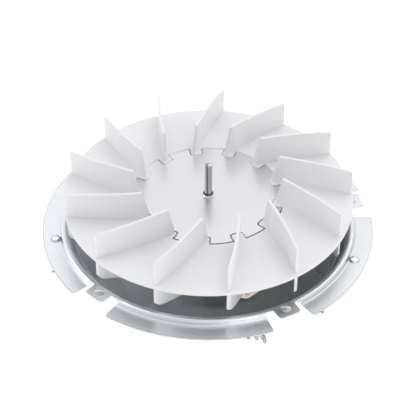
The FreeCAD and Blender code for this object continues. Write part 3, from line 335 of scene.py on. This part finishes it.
def galvanised_sheet(name="galvanised_sheet", tone=1.0):
    """Hot-dip galvanised sheet: faint crystals, rolling lines and small scuffs, with painted shade and
    painted reflection across the dish and painted shade towards the right.
    """
    m = Nodes(name)
    where = m.position()
    tones = m.cells(where, 190.0)[0]
    cloud = m.noise(where, 45.0, 5.0)

    def toned(red, green, blue):
        return (red * tone, green * tone, blue * tone)

    crystals = m.ramp(tones["Red"], [
        (0.0, toned(0.80, 0.825, 0.847)), (1.0, toned(0.832, 0.858, 0.88)),
    ])
    haze = m.ramp(cloud, [(0.3, toned(0.79, 0.815, 0.836)), (0.7, toned(0.848, 0.874, 0.895))])
    sheet = m.mix(0.6, crystals, haze)
    past_dish_edge = m.fade(m.radius(where), *DISH_EDGE)
    under = m.fade(m.facing("Z"), 0.1, -0.1)
    outside_dish = m.combine("MAXIMUM", past_dish_edge, under)
    # Painted shade and painted reflection in the dish, dark at the left and right and bright in the middle,
    # and painted shade darkening the sheet outside the dish towards the right.
    across = m.fade(m.axis(where, "X"), -DISH_RADIUS, DISH_RADIUS)
    dish_painted_shade = m.ramp(across, [
        (0.1, (0.56, 0.61, 0.615)), (0.27, (0.80, 0.84, 0.845)), (0.5, (0.92, 0.95, 0.96)),
        (0.7, (0.50, 0.56, 0.56)), (0.9, (0.45, 0.51, 0.505)),
    ])
    right_painted_shade = m.ramp(across, [
        (0.0, (1.0, 1.0, 1.0)), (0.6, (0.98, 0.98, 0.98)), (1.0, (0.88, 0.875, 0.87)),
    ])
    painted_shade_tones = m.mix(outside_dish, dish_painted_shade, right_painted_shade)
    m.link(m.mix(1.0, sheet, painted_shade_tones, "MULTIPLY"), m.shader.inputs["Base Color"])
    scuffs = m.noise(m.position((1.0, 18.0, 1.0), 37.0), 130.0, 4.0, 0.65)
    fine = m.spread(m.mix(0.15, scuffs, tones["Green"]), 0.09, 0.19)
    m.link(m.combine("ADD", fine, m.spread(outside_dish, 0.0, 0.20)), m.shader.inputs["Roughness"])
    m.set(Metallic=1.0)
    m.bump(scuffs, 0.02, 0.00003)
    m.bump(cloud, 0.03, 0.0003)
    return m.material


def dimple_highlight_sheet():
    """Sheet of the tabs' dimples: grey flanks, with a painted highlight across the crown."""
    m = Nodes("dimple_highlight_sheet")
    flank = m.fade(m.facing("Y"), -0.3, 0.3)
    grain = m.noise(m.position(), 420.0, 4.0, 0.6)
    # Bright crown between darker flanks, set by which way each face turns: painted highlight.
    tones = m.ramp(flank, [
        (0.0, (0.42, 0.43, 0.45)), (0.42, (0.52, 0.53, 0.55)), (0.52, (0.97, 0.98, 1.0)),
        (0.72, (0.97, 0.98, 1.0)), (0.95, (0.50, 0.51, 0.53)),
    ])
    m.link(m.mix(0.15, tones, m.ramp(grain, [(0.3, (0.35, 0.35, 0.36)), (0.7, (0.8, 0.8, 0.82))])),
           m.shader.inputs["Base Color"])
    m.link(m.spread(grain, 0.35, 0.6), m.shader.inputs["Roughness"])
    # Metallic drops to nothing under the painted highlight.
    highlight_metallic = m.ramp(flank, [
        (0.40, (0.8, 0.8, 0.8)), (0.52, (0.0, 0.0, 0.0)), (0.95, (0.2, 0.2, 0.2)),
    ])
    m.link(highlight_metallic, m.shader.inputs["Metallic"])
    m.bump(grain, 0.3, 0.00005)
    return m.material


def threaded_steel():
    """Zinc-plated thread of the long screws, with painted shade in the thread roots."""
    m = Nodes("threaded_steel")
    where = m.position()
    turns = m.ridges(where, "Z", SCREW_PITCH)
    grain = m.noise(where, 350.0, 3.0)
    # Darker in each thread root: painted shade.
    root_shade_tones = m.ramp(turns, [(0.1, (0.30, 0.31, 0.32)), (0.7, (0.70, 0.71, 0.72))])
    m.link(m.mix(0.2, root_shade_tones, m.ramp(grain, [(0.3, (0.45, 0.46, 0.47)), (0.7, (0.72, 0.73, 0.74))])),
           m.shader.inputs["Base Color"])
    m.link(m.spread(grain, 0.25, 0.42), m.shader.inputs["Roughness"])
    m.set(Metallic=1.0)
    m.bump(turns, 1.0, 0.00018)
    return m.material


def lamination_steel():
    """Varnished stack: the edges of the sheets show as fine lines up the sides."""
    m = Nodes("lamination_steel")
    where = m.position()
    sheets = m.ridges(where, "Z", LAMINATION_PITCH, 0.15)
    cloud = m.noise(where, 110.0, 4.0)
    varnish = m.ramp(cloud, [(0.3, (0.10, 0.105, 0.12)), (0.7, (0.21, 0.215, 0.23))])
    edges = m.ramp(sheets, [(0.2, (0.06, 0.06, 0.065)), (0.8, (0.3, 0.3, 0.31))])
    m.link(m.mix(0.35, varnish, edges), m.shader.inputs["Base Color"])
    m.link(m.spread(cloud, 0.30, 0.55), m.shader.inputs["Roughness"])
    m.set(Metallic=0.75)
    m.bump(sheets, 0.5, 0.00006)
    return m.material


def cream_plastic():
    """Moulded cream plastic, slightly cloudy, with a fine grain."""
    m = Nodes("cream_plastic")
    where = m.position()
    cloud = m.noise(where, 120.0, 4.0)
    clouded = m.ramp(cloud, [(0.3, (0.77, 0.72, 0.58)), (0.7, (0.85, 0.81, 0.68))])
    m.link(clouded, m.shader.inputs["Base Color"])
    m.link(m.spread(cloud, 0.38, 0.55), m.shader.inputs["Roughness"])
    m.bump(m.noise(where, 1800.0, 2.0), 0.15, 0.00005)
    return m.material


def cream_tape():
    """Woven tape wound round the coil: threads across and along, with the winding's ridges under it."""
    m = Nodes("cream_tape")
    where = m.position()
    turned = m.position((1.0, 1.0, 1.0), 40.0)
    threads = m.ridges(turned, "Y", TAPE_PITCH)
    cloud = m.noise(where, 220.0, 4.0)
    clouded = m.ramp(cloud, [(0.3, (0.70, 0.62, 0.43)), (0.7, (0.84, 0.78, 0.60))])
    m.link(clouded, m.shader.inputs["Base Color"])
    m.link(m.spread(cloud, 0.5, 0.75), m.shader.inputs["Roughness"])
    m.bump(threads, 0.6, 0.00012)
    return m.material


def copper(name, low, high, wire_pitch=0.0):
    """Bare or enamelled copper, with the turns of a winding where a pitch is given."""
    m = Nodes(name)
    where = m.position((1.0, 1.0, 1.0), 40.0)
    cloud = m.noise(where, 300.0, 3.0)
    m.link(m.ramp(cloud, [(0.3, low), (0.7, high)]), m.shader.inputs["Base Color"])
    m.link(m.spread(cloud, 0.2, 0.38), m.shader.inputs["Roughness"])
    m.set(Metallic=1.0)
    if wire_pitch > 0:
        m.bump(m.ridges(where, "Y", wire_pitch), 0.9, 0.0001)
    return m.material


def grainy(name, low, high, scale, metallic, rough, bump):
    """Cast, sintered, felted or plated finish: a two-tone grain with matching roughness and bump."""
    m = Nodes(name)
    where = m.position()
    grain = m.noise(where, scale, 5.0, 0.6)
    m.link(m.ramp(grain, [(0.3, low), (0.7, high)]), m.shader.inputs["Base Color"])
    m.link(m.spread(grain, rough[0], rough[1]), m.shader.inputs["Roughness"])
    m.set(Metallic=metallic)
    m.bump(grain, bump, 0.0001)
    return m.material


def dress(names, material):
    for name in names:
        piece = nodes[name]
        piece.data.materials.clear()
        piece.data.materials.append(material)


def soften(names, width):
    """Small rounding of the moulded or pressed edges, so that they catch the light."""
    for name in names:
        piece = nodes[name]
        weld = piece.modifiers.new("weld", "WELD")
        weld.merge_threshold = 0.002 * MM
        bevel = piece.modifiers.new("edges", "BEVEL")
        bevel.width = width
        bevel.segments = 2
        bevel.limit_method = "ANGLE"
        bevel.angle_limit = math.radians(40.0)
        bevel.harden_normals = False


def second_finish(name, material, wanted):
    """Gives the faces that are wanted a second material of their own."""
    piece = nodes[name]
    piece.data.materials.append(material)
    index = len(piece.data.materials) - 1
    to_world = piece.matrix_world
    for face in piece.data.polygons:
        if wanted(to_world @ face.center, (to_world.to_3x3() @ face.normal).normalized()):
            face.material_index = index


def nearest(centre, places):
    """Distance, seen from above, to the nearest of some places."""
    return min((centre.xy - place).length for place in places)


def on_shaded_tab(centre, normal):
    """Tab at the front right, which is given a darker copy of the sheet as painted shade."""
    turn = math.degrees(math.atan2(centre.y, centre.x)) % 360.0
    return centre.xy.length > TAB_INNER_RADIUS and abs(turn - SHADED_TAB_ANGLE) < TAB_HALF_ANGLE


def on_dimple(centre, normal):
    """Faces of the four tabs' dimples."""
    if not DIMPLE_SLOPES[0] <= normal.z <= DIMPLE_SLOPES[1] or centre.z < TAB_LOW:
        return False
    turns = [math.radians(angle) for angle in TAB_ANGLES]
    places = [Vector((math.cos(turn), math.sin(turn))) * DIMPLE_PLACE_RADIUS for turn in turns]
    return nearest(centre, places) < DIMPLE_REACH


def on_screw_shank(centre, normal):
    """Round sides of the two long screws, heads left out."""
    along = Vector((math.sin(COIL_TURN), -math.cos(COIL_TURN))) * LONG_SCREW_PLACE
    return abs(normal.z) < 0.3 and nearest(centre, [along, -along]) < LONG_SCREW_REACH


def on_boss_shade(centre, normal):
    """Faces of the screw bosses that are turned to the dark dish."""
    if not on_boss(centre, normal) or centre.xy.length <= RIM_OUTER_RADIUS:
        return False
    hole = min(SCREW_HOLES, key=lambda place: (centre.xy - place).length)
    return (centre.xy - hole).dot(-hole.normalized()) > BOSS_SHADE_START


def on_boss(centre, normal):
    """Faces of the raised screw bosses."""
    return BOSS_LOW < centre.z < BOSS_HIGH and nearest(centre, SCREW_HOLES) < BOSS_RADIUS


def on_cut_edge(centre, normal):
    """Sheared outer edge of the flange."""
    return abs(normal.z) < 0.2 and SHEARED_BAND[0] < centre.xy.length < SHEARED_BAND[1]


def on_nib(centre, normal):
    """Small burrs that stand out from the flange."""
    return abs(normal.z) < 0.2 and centre.xy.length >= SHEARED_BAND[1]


def make_materials():
    dress(["impeller"], white_plastic())
    dress(["hub_disc"], bright_sheet())
    dress(["shaft"], ground_steel())
    dress(["hub_bush", "upper_retainer", "lower_retainer"], turned_steel())
    dress(["mounting_plate", "upper_bracket", "lower_bracket"], galvanised_sheet())
    # Darker copy of the galvanised sheet on the front-right tab: painted shade.
    second_finish("mounting_plate", galvanised_sheet("shaded_tab_sheet", 0.72), on_shaded_tab)
    # Painted highlight on the dimples' crowns.
    second_finish("mounting_plate", dimple_highlight_sheet(), on_dimple)
    boss_top = grainy("boss_top", (0.62, 0.635, 0.65), (0.70, 0.715, 0.73), 300.0, 1.0, (0.3, 0.45), 0.1)
    second_finish("mounting_plate", boss_top, on_boss)
    boss_shade = grainy("boss_shade", (0.26, 0.265, 0.27), (0.38, 0.385, 0.39), 300.0, 0.6, (0.4, 0.6), 0.1)
    second_finish("mounting_plate", boss_shade, on_boss_shade)
    edge = grainy("cut_edge", (0.50, 0.51, 0.52), (0.66, 0.67, 0.68), 500.0, 1.0, (0.35, 0.5), 0.3)
    second_finish("mounting_plate", edge, on_cut_edge)
    burr = grainy("burr", (0.16, 0.16, 0.17), (0.30, 0.30, 0.31), 700.0, 1.0, (0.4, 0.55), 0.4)
    second_finish("mounting_plate", burr, on_nib)
    dress(["stator_core", "coil_limb", "rotor_core"], lamination_steel())
    dress(["bobbin"], cream_plastic())
    dress(["winding_wrap"], cream_tape())
    dress(["winding"], copper("copper_winding", (0.42, 0.17, 0.08), (0.62, 0.30, 0.15), WIRE_PITCH))
    dress(["shading_rings"], copper("copper_ring", (0.60, 0.30, 0.17), (0.75, 0.42, 0.26)))
    dress(["rotor_cage"],
          grainy("cast_aluminium", (0.60, 0.60, 0.61), (0.72, 0.72, 0.73), 700.0, 1.0, (0.35, 0.55), 0.3))
    dress(["upper_washer", "lower_washer"],
          grainy("fibre_washer", (0.16, 0.13, 0.10), (0.26, 0.22, 0.18), 500.0, 0.0, (0.6, 0.8), 0.3))
    dress(["upper_bearing", "lower_bearing"],
          grainy("sintered_bronze", (0.38, 0.26, 0.13), (0.52, 0.38, 0.22), 1500.0, 1.0, (0.35, 0.5), 0.3))
    dress(["upper_felt", "lower_felt"],
          grainy("oil_felt", (0.55, 0.47, 0.33), (0.70, 0.62, 0.47), 900.0, 0.0, (0.8, 0.95), 0.8))
    dress(["live_terminal", "neutral_terminal"],
          grainy("tinned_brass", (0.36, 0.33, 0.32), (0.56, 0.52, 0.50), 400.0, 1.0, (0.18, 0.32), 0.1))
    dress(["plate_spacers", "motor_screws", "motor_nuts", "stack_rivets"],
          grainy("zinc_plate", (0.60, 0.62, 0.64), (0.74, 0.75, 0.76), 350.0, 1.0, (0.24, 0.42), 0.12))
    second_finish("motor_screws", threaded_steel(), on_screw_shank)


# Small pieces of the scene


EDGE_TOLERANCE = 0.01 * MM
LEAST_WALL = 0.3 * MM
STRIP_LIFT = 0.012 * MM
SHEARED_WIDTH = 0.34 * MM
FLASH_LIFT = 0.008 * MM
FLASH_WIDTH = 0.55 * MM

# Width of the painted shade line round the hub disc, and how it grows from the back to the front
SEAM_AT_MIDDLE = 0.35
SEAM_FADE = 55 * MM
SEAM_WIDEST = 0.85 * MM
SEAM_NARROWEST = 0.12 * MM
SEAM_NOTCH_GROWTH = 0.16 * MM

# Edges that face less outwards than these are sides of a notch
SEAM_OUTWARDS = 0.5
FLASH_OUTWARDS = 0.6


def add_piece(name, points, faces, material, body, smooth=False):
    """Mesh piece of the scene that rides on a body of the frame."""
    mesh = bpy.data.meshes.new(name)
    mesh.from_pydata(points, [], faces)
    mesh.validate()
    mesh.materials.append(material)
    for face in mesh.polygons:
        face.use_smooth = smooth
    piece = bpy.data.objects.new(name, mesh)
    bpy.context.scene.collection.objects.link(piece)
    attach(piece, body)


def add_strips(name, quads, material, body):
    """Piece made of separate quads, each a list of four points."""
    points = [point for quad in quads for point in quad]
    faces = [tuple(range(4 * index, 4 * index + 4)) for index in range(len(quads))]
    add_piece(name, points, faces, material, body)


def top_edges(name):
    """Top edges of a node's upright walls: both ends, and the way that the wall faces."""
    piece = nodes[name]
    to_world = piece.matrix_world
    edges = []
    for face in piece.data.polygons:
        normal = (to_world.to_3x3() @ face.normal).normalized()
        corners = [to_world @ piece.data.vertices[index].co for index in face.vertices]
        level = max(corner.z for corner in corners)
        height = level - min(corner.z for corner in corners)
        high = [corner for corner in corners if corner.z > level - EDGE_TOLERANCE]
        if abs(normal.z) <= 0.1 and height > LEAST_WALL and len(high) == 2:
            edges.append((high[0], high[1], Vector((normal.x, normal.y, 0))))
    return edges


def edge_strip(first, second, across, lift):
    """Quad that lies along an edge and reaches across it, just over the surface."""
    rise = Vector((0, 0, lift))
    return [first + rise, second + rise, second + across + rise, first + across + rise]


def disc_edges():
    """Top edges of the hub disc's outline, with how far each faces outwards, from 0 to 1."""
    edges = []
    for first, second, facing in top_edges("hub_disc"):
        if min(first.xy.length, second.xy.length) > DISC_BORE_LIMIT:
            outwards = abs(facing.xy.dot(first.xy.normalized()))
            edges.append((first, second, facing, outwards))
    return edges


def make_seam_shade():
    """Dark line of painted shade along the edge of the hub disc, wider towards the front."""
    quads = []
    for first, second, facing, outwards in disc_edges():
        nearness = min(max(SEAM_AT_MIDDLE - first.y / SEAM_FADE, 0.0), 1.0)
        width = SEAM_WIDEST * nearness
        if min(first.xy.length, second.xy.length) < NOTCH_RADIUS and outwards < SEAM_OUTWARDS:
            width = SEAM_NARROWEST + SEAM_NOTCH_GROWTH * nearness
        if width >= SEAM_NARROWEST:
            quads.append(edge_strip(first, second, -facing * width, STRIP_LIFT))
    # Near-black material of the painted shade line.
    seam_shade_material = grainy("seam_painted_shade", (0.05, 0.05, 0.055), (0.16, 0.16, 0.17), 260.0, 0.0, (0.5, 0.7), 0.2)
    add_strips("disc_seam_shade", quads, seam_shade_material, "rotor")


def make_disc_flash():
    """Thin moulding flash that closes the joint between the disc and the ring, away from the finger sides."""
    quads = []
    for first, second, facing, outwards in disc_edges():
        if first.y >= FLASH_FRONT and outwards >= FLASH_OUTWARDS:
            quads.append(edge_strip(first, second, facing * FLASH_WIDTH, FLASH_LIFT))
    flash = grainy("mould_flash", (0.74, 0.742, 0.75), (0.79, 0.792, 0.80), 90.0, 0.0, (0.35, 0.5), 0.1)
    add_strips("disc_flash", quads, flash, "rotor")


def make_sheared_edge():
    """Rolled-over, slightly dulled line where the punch sheared the plate's outline, notches and tabs."""
    quads = []
    for first, second, facing in top_edges("mounting_plate"):
        middle = (first + second) / 2
        if middle.xy.length > OUTLINE_RADIUS and nearest(middle, SCREW_HOLES) > BOSS_CLEARANCE:
            quads.append(edge_strip(first, second, -facing * SHEARED_WIDTH, STRIP_LIFT))
    sheared = grainy("sheared_edge", (0.46, 0.47, 0.48), (0.60, 0.61, 0.62), 320.0, 0.9, (0.35, 0.5), 0.2)
    add_strips("sheared_edge", quads, sheared, "stator")


RING_SEGMENTS = 64
WIRE_RADIUS = 0.17 * MM
WIRE_SIDES = 8


def add_turned(name, profile, material, body):
    """Ring turned about the shaft: profile is a closed list of radius and height in millimetres."""
    points = []
    faces = []
    count = len(profile)
    for step in range(RING_SEGMENTS):
        turn = 2 * math.pi * step / RING_SEGMENTS
        for radius, height in profile:
            points.append((radius * MM * math.cos(turn), radius * MM * math.sin(turn), height * MM))
        following = (step + 1) % RING_SEGMENTS
        for index in range(count):
            after = (index + 1) % count
            faces.append((step * count + index, following * count + index,
                          following * count + after, step * count + after))
    add_piece(name, points, faces, material, body, smooth=True)


def add_wire(name, path, material, body):
    """Round wire along a path."""
    sides = WIRE_SIDES
    points = []
    faces = []
    side = Vector((0, 0, 1))
    for index, place in enumerate(path):
        ahead = (path[min(index + 1, len(path) - 1)] - path[max(index - 1, 0)]).normalized()
        side = side - ahead * side.dot(ahead)
        if side.length < 1e-3:
            side = ahead.orthogonal()
        side.normalize()
        other = ahead.cross(side)
        for corner in range(sides):
            turn = 2 * math.pi * corner / sides
            points.append(place + (side * math.cos(turn) + other * math.sin(turn)) * WIRE_RADIUS)
    for index in range(len(path) - 1):
        for corner in range(sides):
            following = (corner + 1) % sides
            faces.append((index * sides + corner, index * sides + following,
                          (index + 1) * sides + following, (index + 1) * sides + corner))
    faces.append(tuple(reversed(range(sides))))
    faces.append(tuple((len(path) - 1) * sides + corner for corner in range(sides)))
    add_piece(name, points, faces, material, body, smooth=True)


def make_bush_flare():
    """Flared lip of the hub bush round the shaft, with a near-black ring inside it as painted shade of the
    gap.
    """
    add_turned("bush_flare", [
        (2.42, -1.55), (2.46, -1.1), (2.62, -0.7), (2.80, -0.38), (2.84, -0.28), (2.78, -0.22),
        (2.66, -0.3), (2.48, -0.62), (2.37, -1.0), (2.36, -1.55),
    ], turned_steel(), "rotor")
    # Near-black ring down the gap between the shaft and the lip: painted shade.
    dark = grainy("gap_painted_shade", (0.015, 0.015, 0.016), (0.05, 0.048, 0.045), 900.0, 0.0, (0.3, 0.5), 0.3)
    add_turned("bush_gap_shade", [
        (1.72, -0.88), (1.72, -0.12), (2.0, -0.06), (2.35, -0.24), (2.6, -0.36), (2.46, -0.64), (2.37, -0.88),
    ], dark, "rotor")


# Leads of the coil, in millimetres along the motor's own axes

TERMINAL_LEVEL = -47.2
TERMINAL_START = 51.75
TERMINAL_ROOT = 3.15
BLOCK_TOP = -40.95
BLOCK_REAR = 48.3
BLOCK_MIDDLE = 50.5
BLOCK_FRONT = 53.7
BLOCK_FACE = 54.5

# Points of a lead beside the block, as distance from the shaft and height
LEAD_EXIT = (46.3, -36.5)
LEAD_BEND = (46.9, -38.8)
LEAD_DROP = (54.45, -41.6)
LEAD_FOOT = -43.6

# Each lead's name, and its place and its terminal's place across the motor
LEADS = [("live_lead", -15.4, -17.15), ("neutral_lead", -16.8, -20.15)]
TERMINAL_RUN = Vector((0.921, -0.39, 0.0))
TERMINAL_SIDE = Vector((0.39, 0.921, 0.0))
WRAP_TURNS = 3
WRAP_PITCH = 0.42
WRAP_STEPS = 12
WRAP_HALF_THICKNESS = 0.60
WRAP_HALF_HEIGHT = 2.60
WRAP_SQUARENESS = 0.45
CURVE_STEPS = 3


def from_motor(point):
    """Motor's own axes in millimetres (outwards to the coil, across, up) to the scene in metres."""
    out, across, up = point
    return Vector((out * math.cos(COIL_TURN) - across * math.sin(COIL_TURN),
                   out * math.sin(COIL_TURN) + across * math.cos(COIL_TURN), up)) * MM


def smooth_path(points, steps):
    """Curve through all the points."""
    path = []
    last = len(points) - 1
    for index in range(last):
        before = points[max(index - 1, 0)]
        start = points[index]
        end = points[index + 1]
        after = points[min(index + 2, last)]
        for step in range(steps):
            t = step / steps
            path.append(0.5 * (2 * start + (end - before) * t
                               + (2 * before - 5 * start + 4 * end - after) * t ** 2
                               + (3 * start - before - 3 * end + after) * t ** 3))
    path.append(points[last])
    return path


def rounded(value):
    """Sine or cosine pushed towards its ends, for a turn that follows a flat blade."""
    return math.copysign(abs(value) ** WRAP_SQUARENESS, value)


def make_leads():
    """Winding ends, led over the terminal block and wound round the roots of the terminals."""
    wire = copper("lead_enamel", (0.40, 0.16, 0.08), (0.60, 0.29, 0.15))
    for name, start, terminal_across in LEADS:
        root = Vector((TERMINAL_START, terminal_across, TERMINAL_LEVEL)) + TERMINAL_RUN * TERMINAL_ROOT
        over = root.y + 1.0
        points = [
            Vector((LEAD_EXIT[0], start, LEAD_EXIT[1])),
            Vector((LEAD_BEND[0], start, LEAD_BEND[1])),
            Vector((BLOCK_REAR, start - 0.2, BLOCK_TOP + 0.1)),
            Vector((BLOCK_MIDDLE, (start + over) / 2, BLOCK_TOP)),
            Vector((BLOCK_FRONT, over, BLOCK_TOP)),
            Vector((LEAD_DROP[0], over, LEAD_DROP[1])),
            Vector((BLOCK_FACE, root.y + 0.75, LEAD_FOOT)),
        ]
        for step in range(WRAP_STEPS * WRAP_TURNS + 1):
            turn = 2 * math.pi * step / WRAP_STEPS + math.pi / 2
            along = TERMINAL_RUN * WRAP_PITCH * step / WRAP_STEPS
            aside = TERMINAL_SIDE * rounded(math.cos(turn)) * WRAP_HALF_THICKNESS
            points.append(root + along + aside + Vector((0, 0, rounded(math.sin(turn)) * WRAP_HALF_HEIGHT)))
        path = [from_motor(point) for point in smooth_path(points, CURVE_STEPS)]
        add_wire(name, path, wire, "stator")


# Floor and light

FRONT_TO_BACK = [(-1.0, 0.64), (-0.72, 0.64), (-0.45, 0.88), (0.1, 0.94), (0.5, 1.0), (1.0, 1.0)]
LOW_TO_HIGH = [(-1.0, 0.9), (0.0, 0.9), (0.5, 1.0), (1.0, 1.0)]
WORLD_STRENGTH = 1.04
WORLD_BLUE = 1.01
FLOOR_HALF = 6.0
FLOOR_GLOW = 0.86

# Each light's name, place in metres and power in watts
LIGHTS = [
    ("top_light", (0.3, 0.45, 1.0), 1.6),
    ("left_light", (-1.0, 0.1, 0.7), 1.2),
    ("front_light", (0.6, -1.0, 0.5), 1.4),
]
LIGHT_WIDTH = 0.5


def make_stage():
    """Pale floor a little below the motor's lowest point."""
    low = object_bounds()[0][2] - FLOOR_GAP
    mesh = bpy.data.meshes.new("floor")
    corners = [(-1, -1), (1, -1), (1, 1), (-1, 1)]
    mesh.from_pydata([(FLOOR_HALF * x, FLOOR_HALF * y, low) for x, y in corners], [], [(0, 1, 2, 3)])
    floor = bpy.data.objects.new("floor", mesh)
    bpy.context.scene.collection.objects.link(floor)
    m = Nodes("pale_floor")
    tone = m.noise(m.position(), 0.6, 2.0)
    shade = m.ramp(tone, [(0.3, (0.40, 0.40, 0.40)), (0.7, (0.42, 0.42, 0.42))])
    m.link(shade, m.shader.inputs["Base Color"])
    m.set(Roughness=0.9)
    m.shader.inputs["Emission Color"].default_value = (1.0, 1.0, 1.0, 1.0)
    m.shader.inputs["Emission Strength"].default_value = FLOOR_GLOW
    mesh.materials.append(m.material)


def area_light(name, place, power):
    """Square soft box that faces the frame's origin."""
    data = bpy.data.lights.new(name, "AREA")
    data.shape = "SQUARE"
    data.size = LIGHT_WIDTH
    data.energy = power
    lamp = bpy.data.objects.new(name, data)
    lamp.location = place
    lamp.rotation_euler = (-Vector(place)).to_track_quat("-Z", "Y").to_euler()
    bpy.context.scene.collection.objects.link(lamp)


def make_light():
    """Soft white tent: bright behind and overhead, darker where the photographer stands."""
    world = bpy.data.worlds.new("studio")
    bpy.context.scene.world = world
    world.use_nodes = True
    tree = world.node_tree
    background = tree.nodes["Background"]
    where = tree.nodes.new("ShaderNodeTexCoord")
    split = tree.nodes.new("ShaderNodeSeparateXYZ")
    tree.links.new(where.outputs["Generated"], split.inputs["Vector"])

    def graded(axis, stops):
        spread = tree.nodes.new("ShaderNodeMapRange")
        spread.inputs["From Min"].default_value = -1.0
        spread.inputs["From Max"].default_value = 1.0
        tree.links.new(split.outputs[axis], spread.inputs["Value"])
        ramp = tree.nodes.new("ShaderNodeValToRGB")
        ramp.color_ramp.interpolation = "EASE"
        fill_ramp(ramp.color_ramp, [
            ((place + 1.0) / 2.0, (level, level, level * WORLD_BLUE)) for place, level in stops
        ])
        tree.links.new(spread.outputs["Result"], ramp.inputs["Fac"])
        return ramp.outputs["Color"]

    depth = graded("Y", FRONT_TO_BACK)
    height = graded("Z", LOW_TO_HIGH)
    product = tree.nodes.new("ShaderNodeMix")
    product.data_type = "RGBA"
    product.blend_type = "MULTIPLY"
    product.inputs[0].default_value = 1.0
    tree.links.new(depth, product.inputs[6])
    tree.links.new(height, product.inputs[7])
    tree.links.new(product.outputs[2], background.inputs["Color"])
    background.inputs["Strength"].default_value = WORLD_STRENGTH
    for name, place, power in LIGHTS:
        area_light(name, place, power)


make_camera()
make_materials()
soften(["impeller"], 0.18 * MM)
make_seam_shade()
make_disc_flash()
make_sheared_edge()
make_bush_flare()
make_leads()
make_stage()
make_light()
bpy.context.scene.view_settings.view_transform = "Standard"
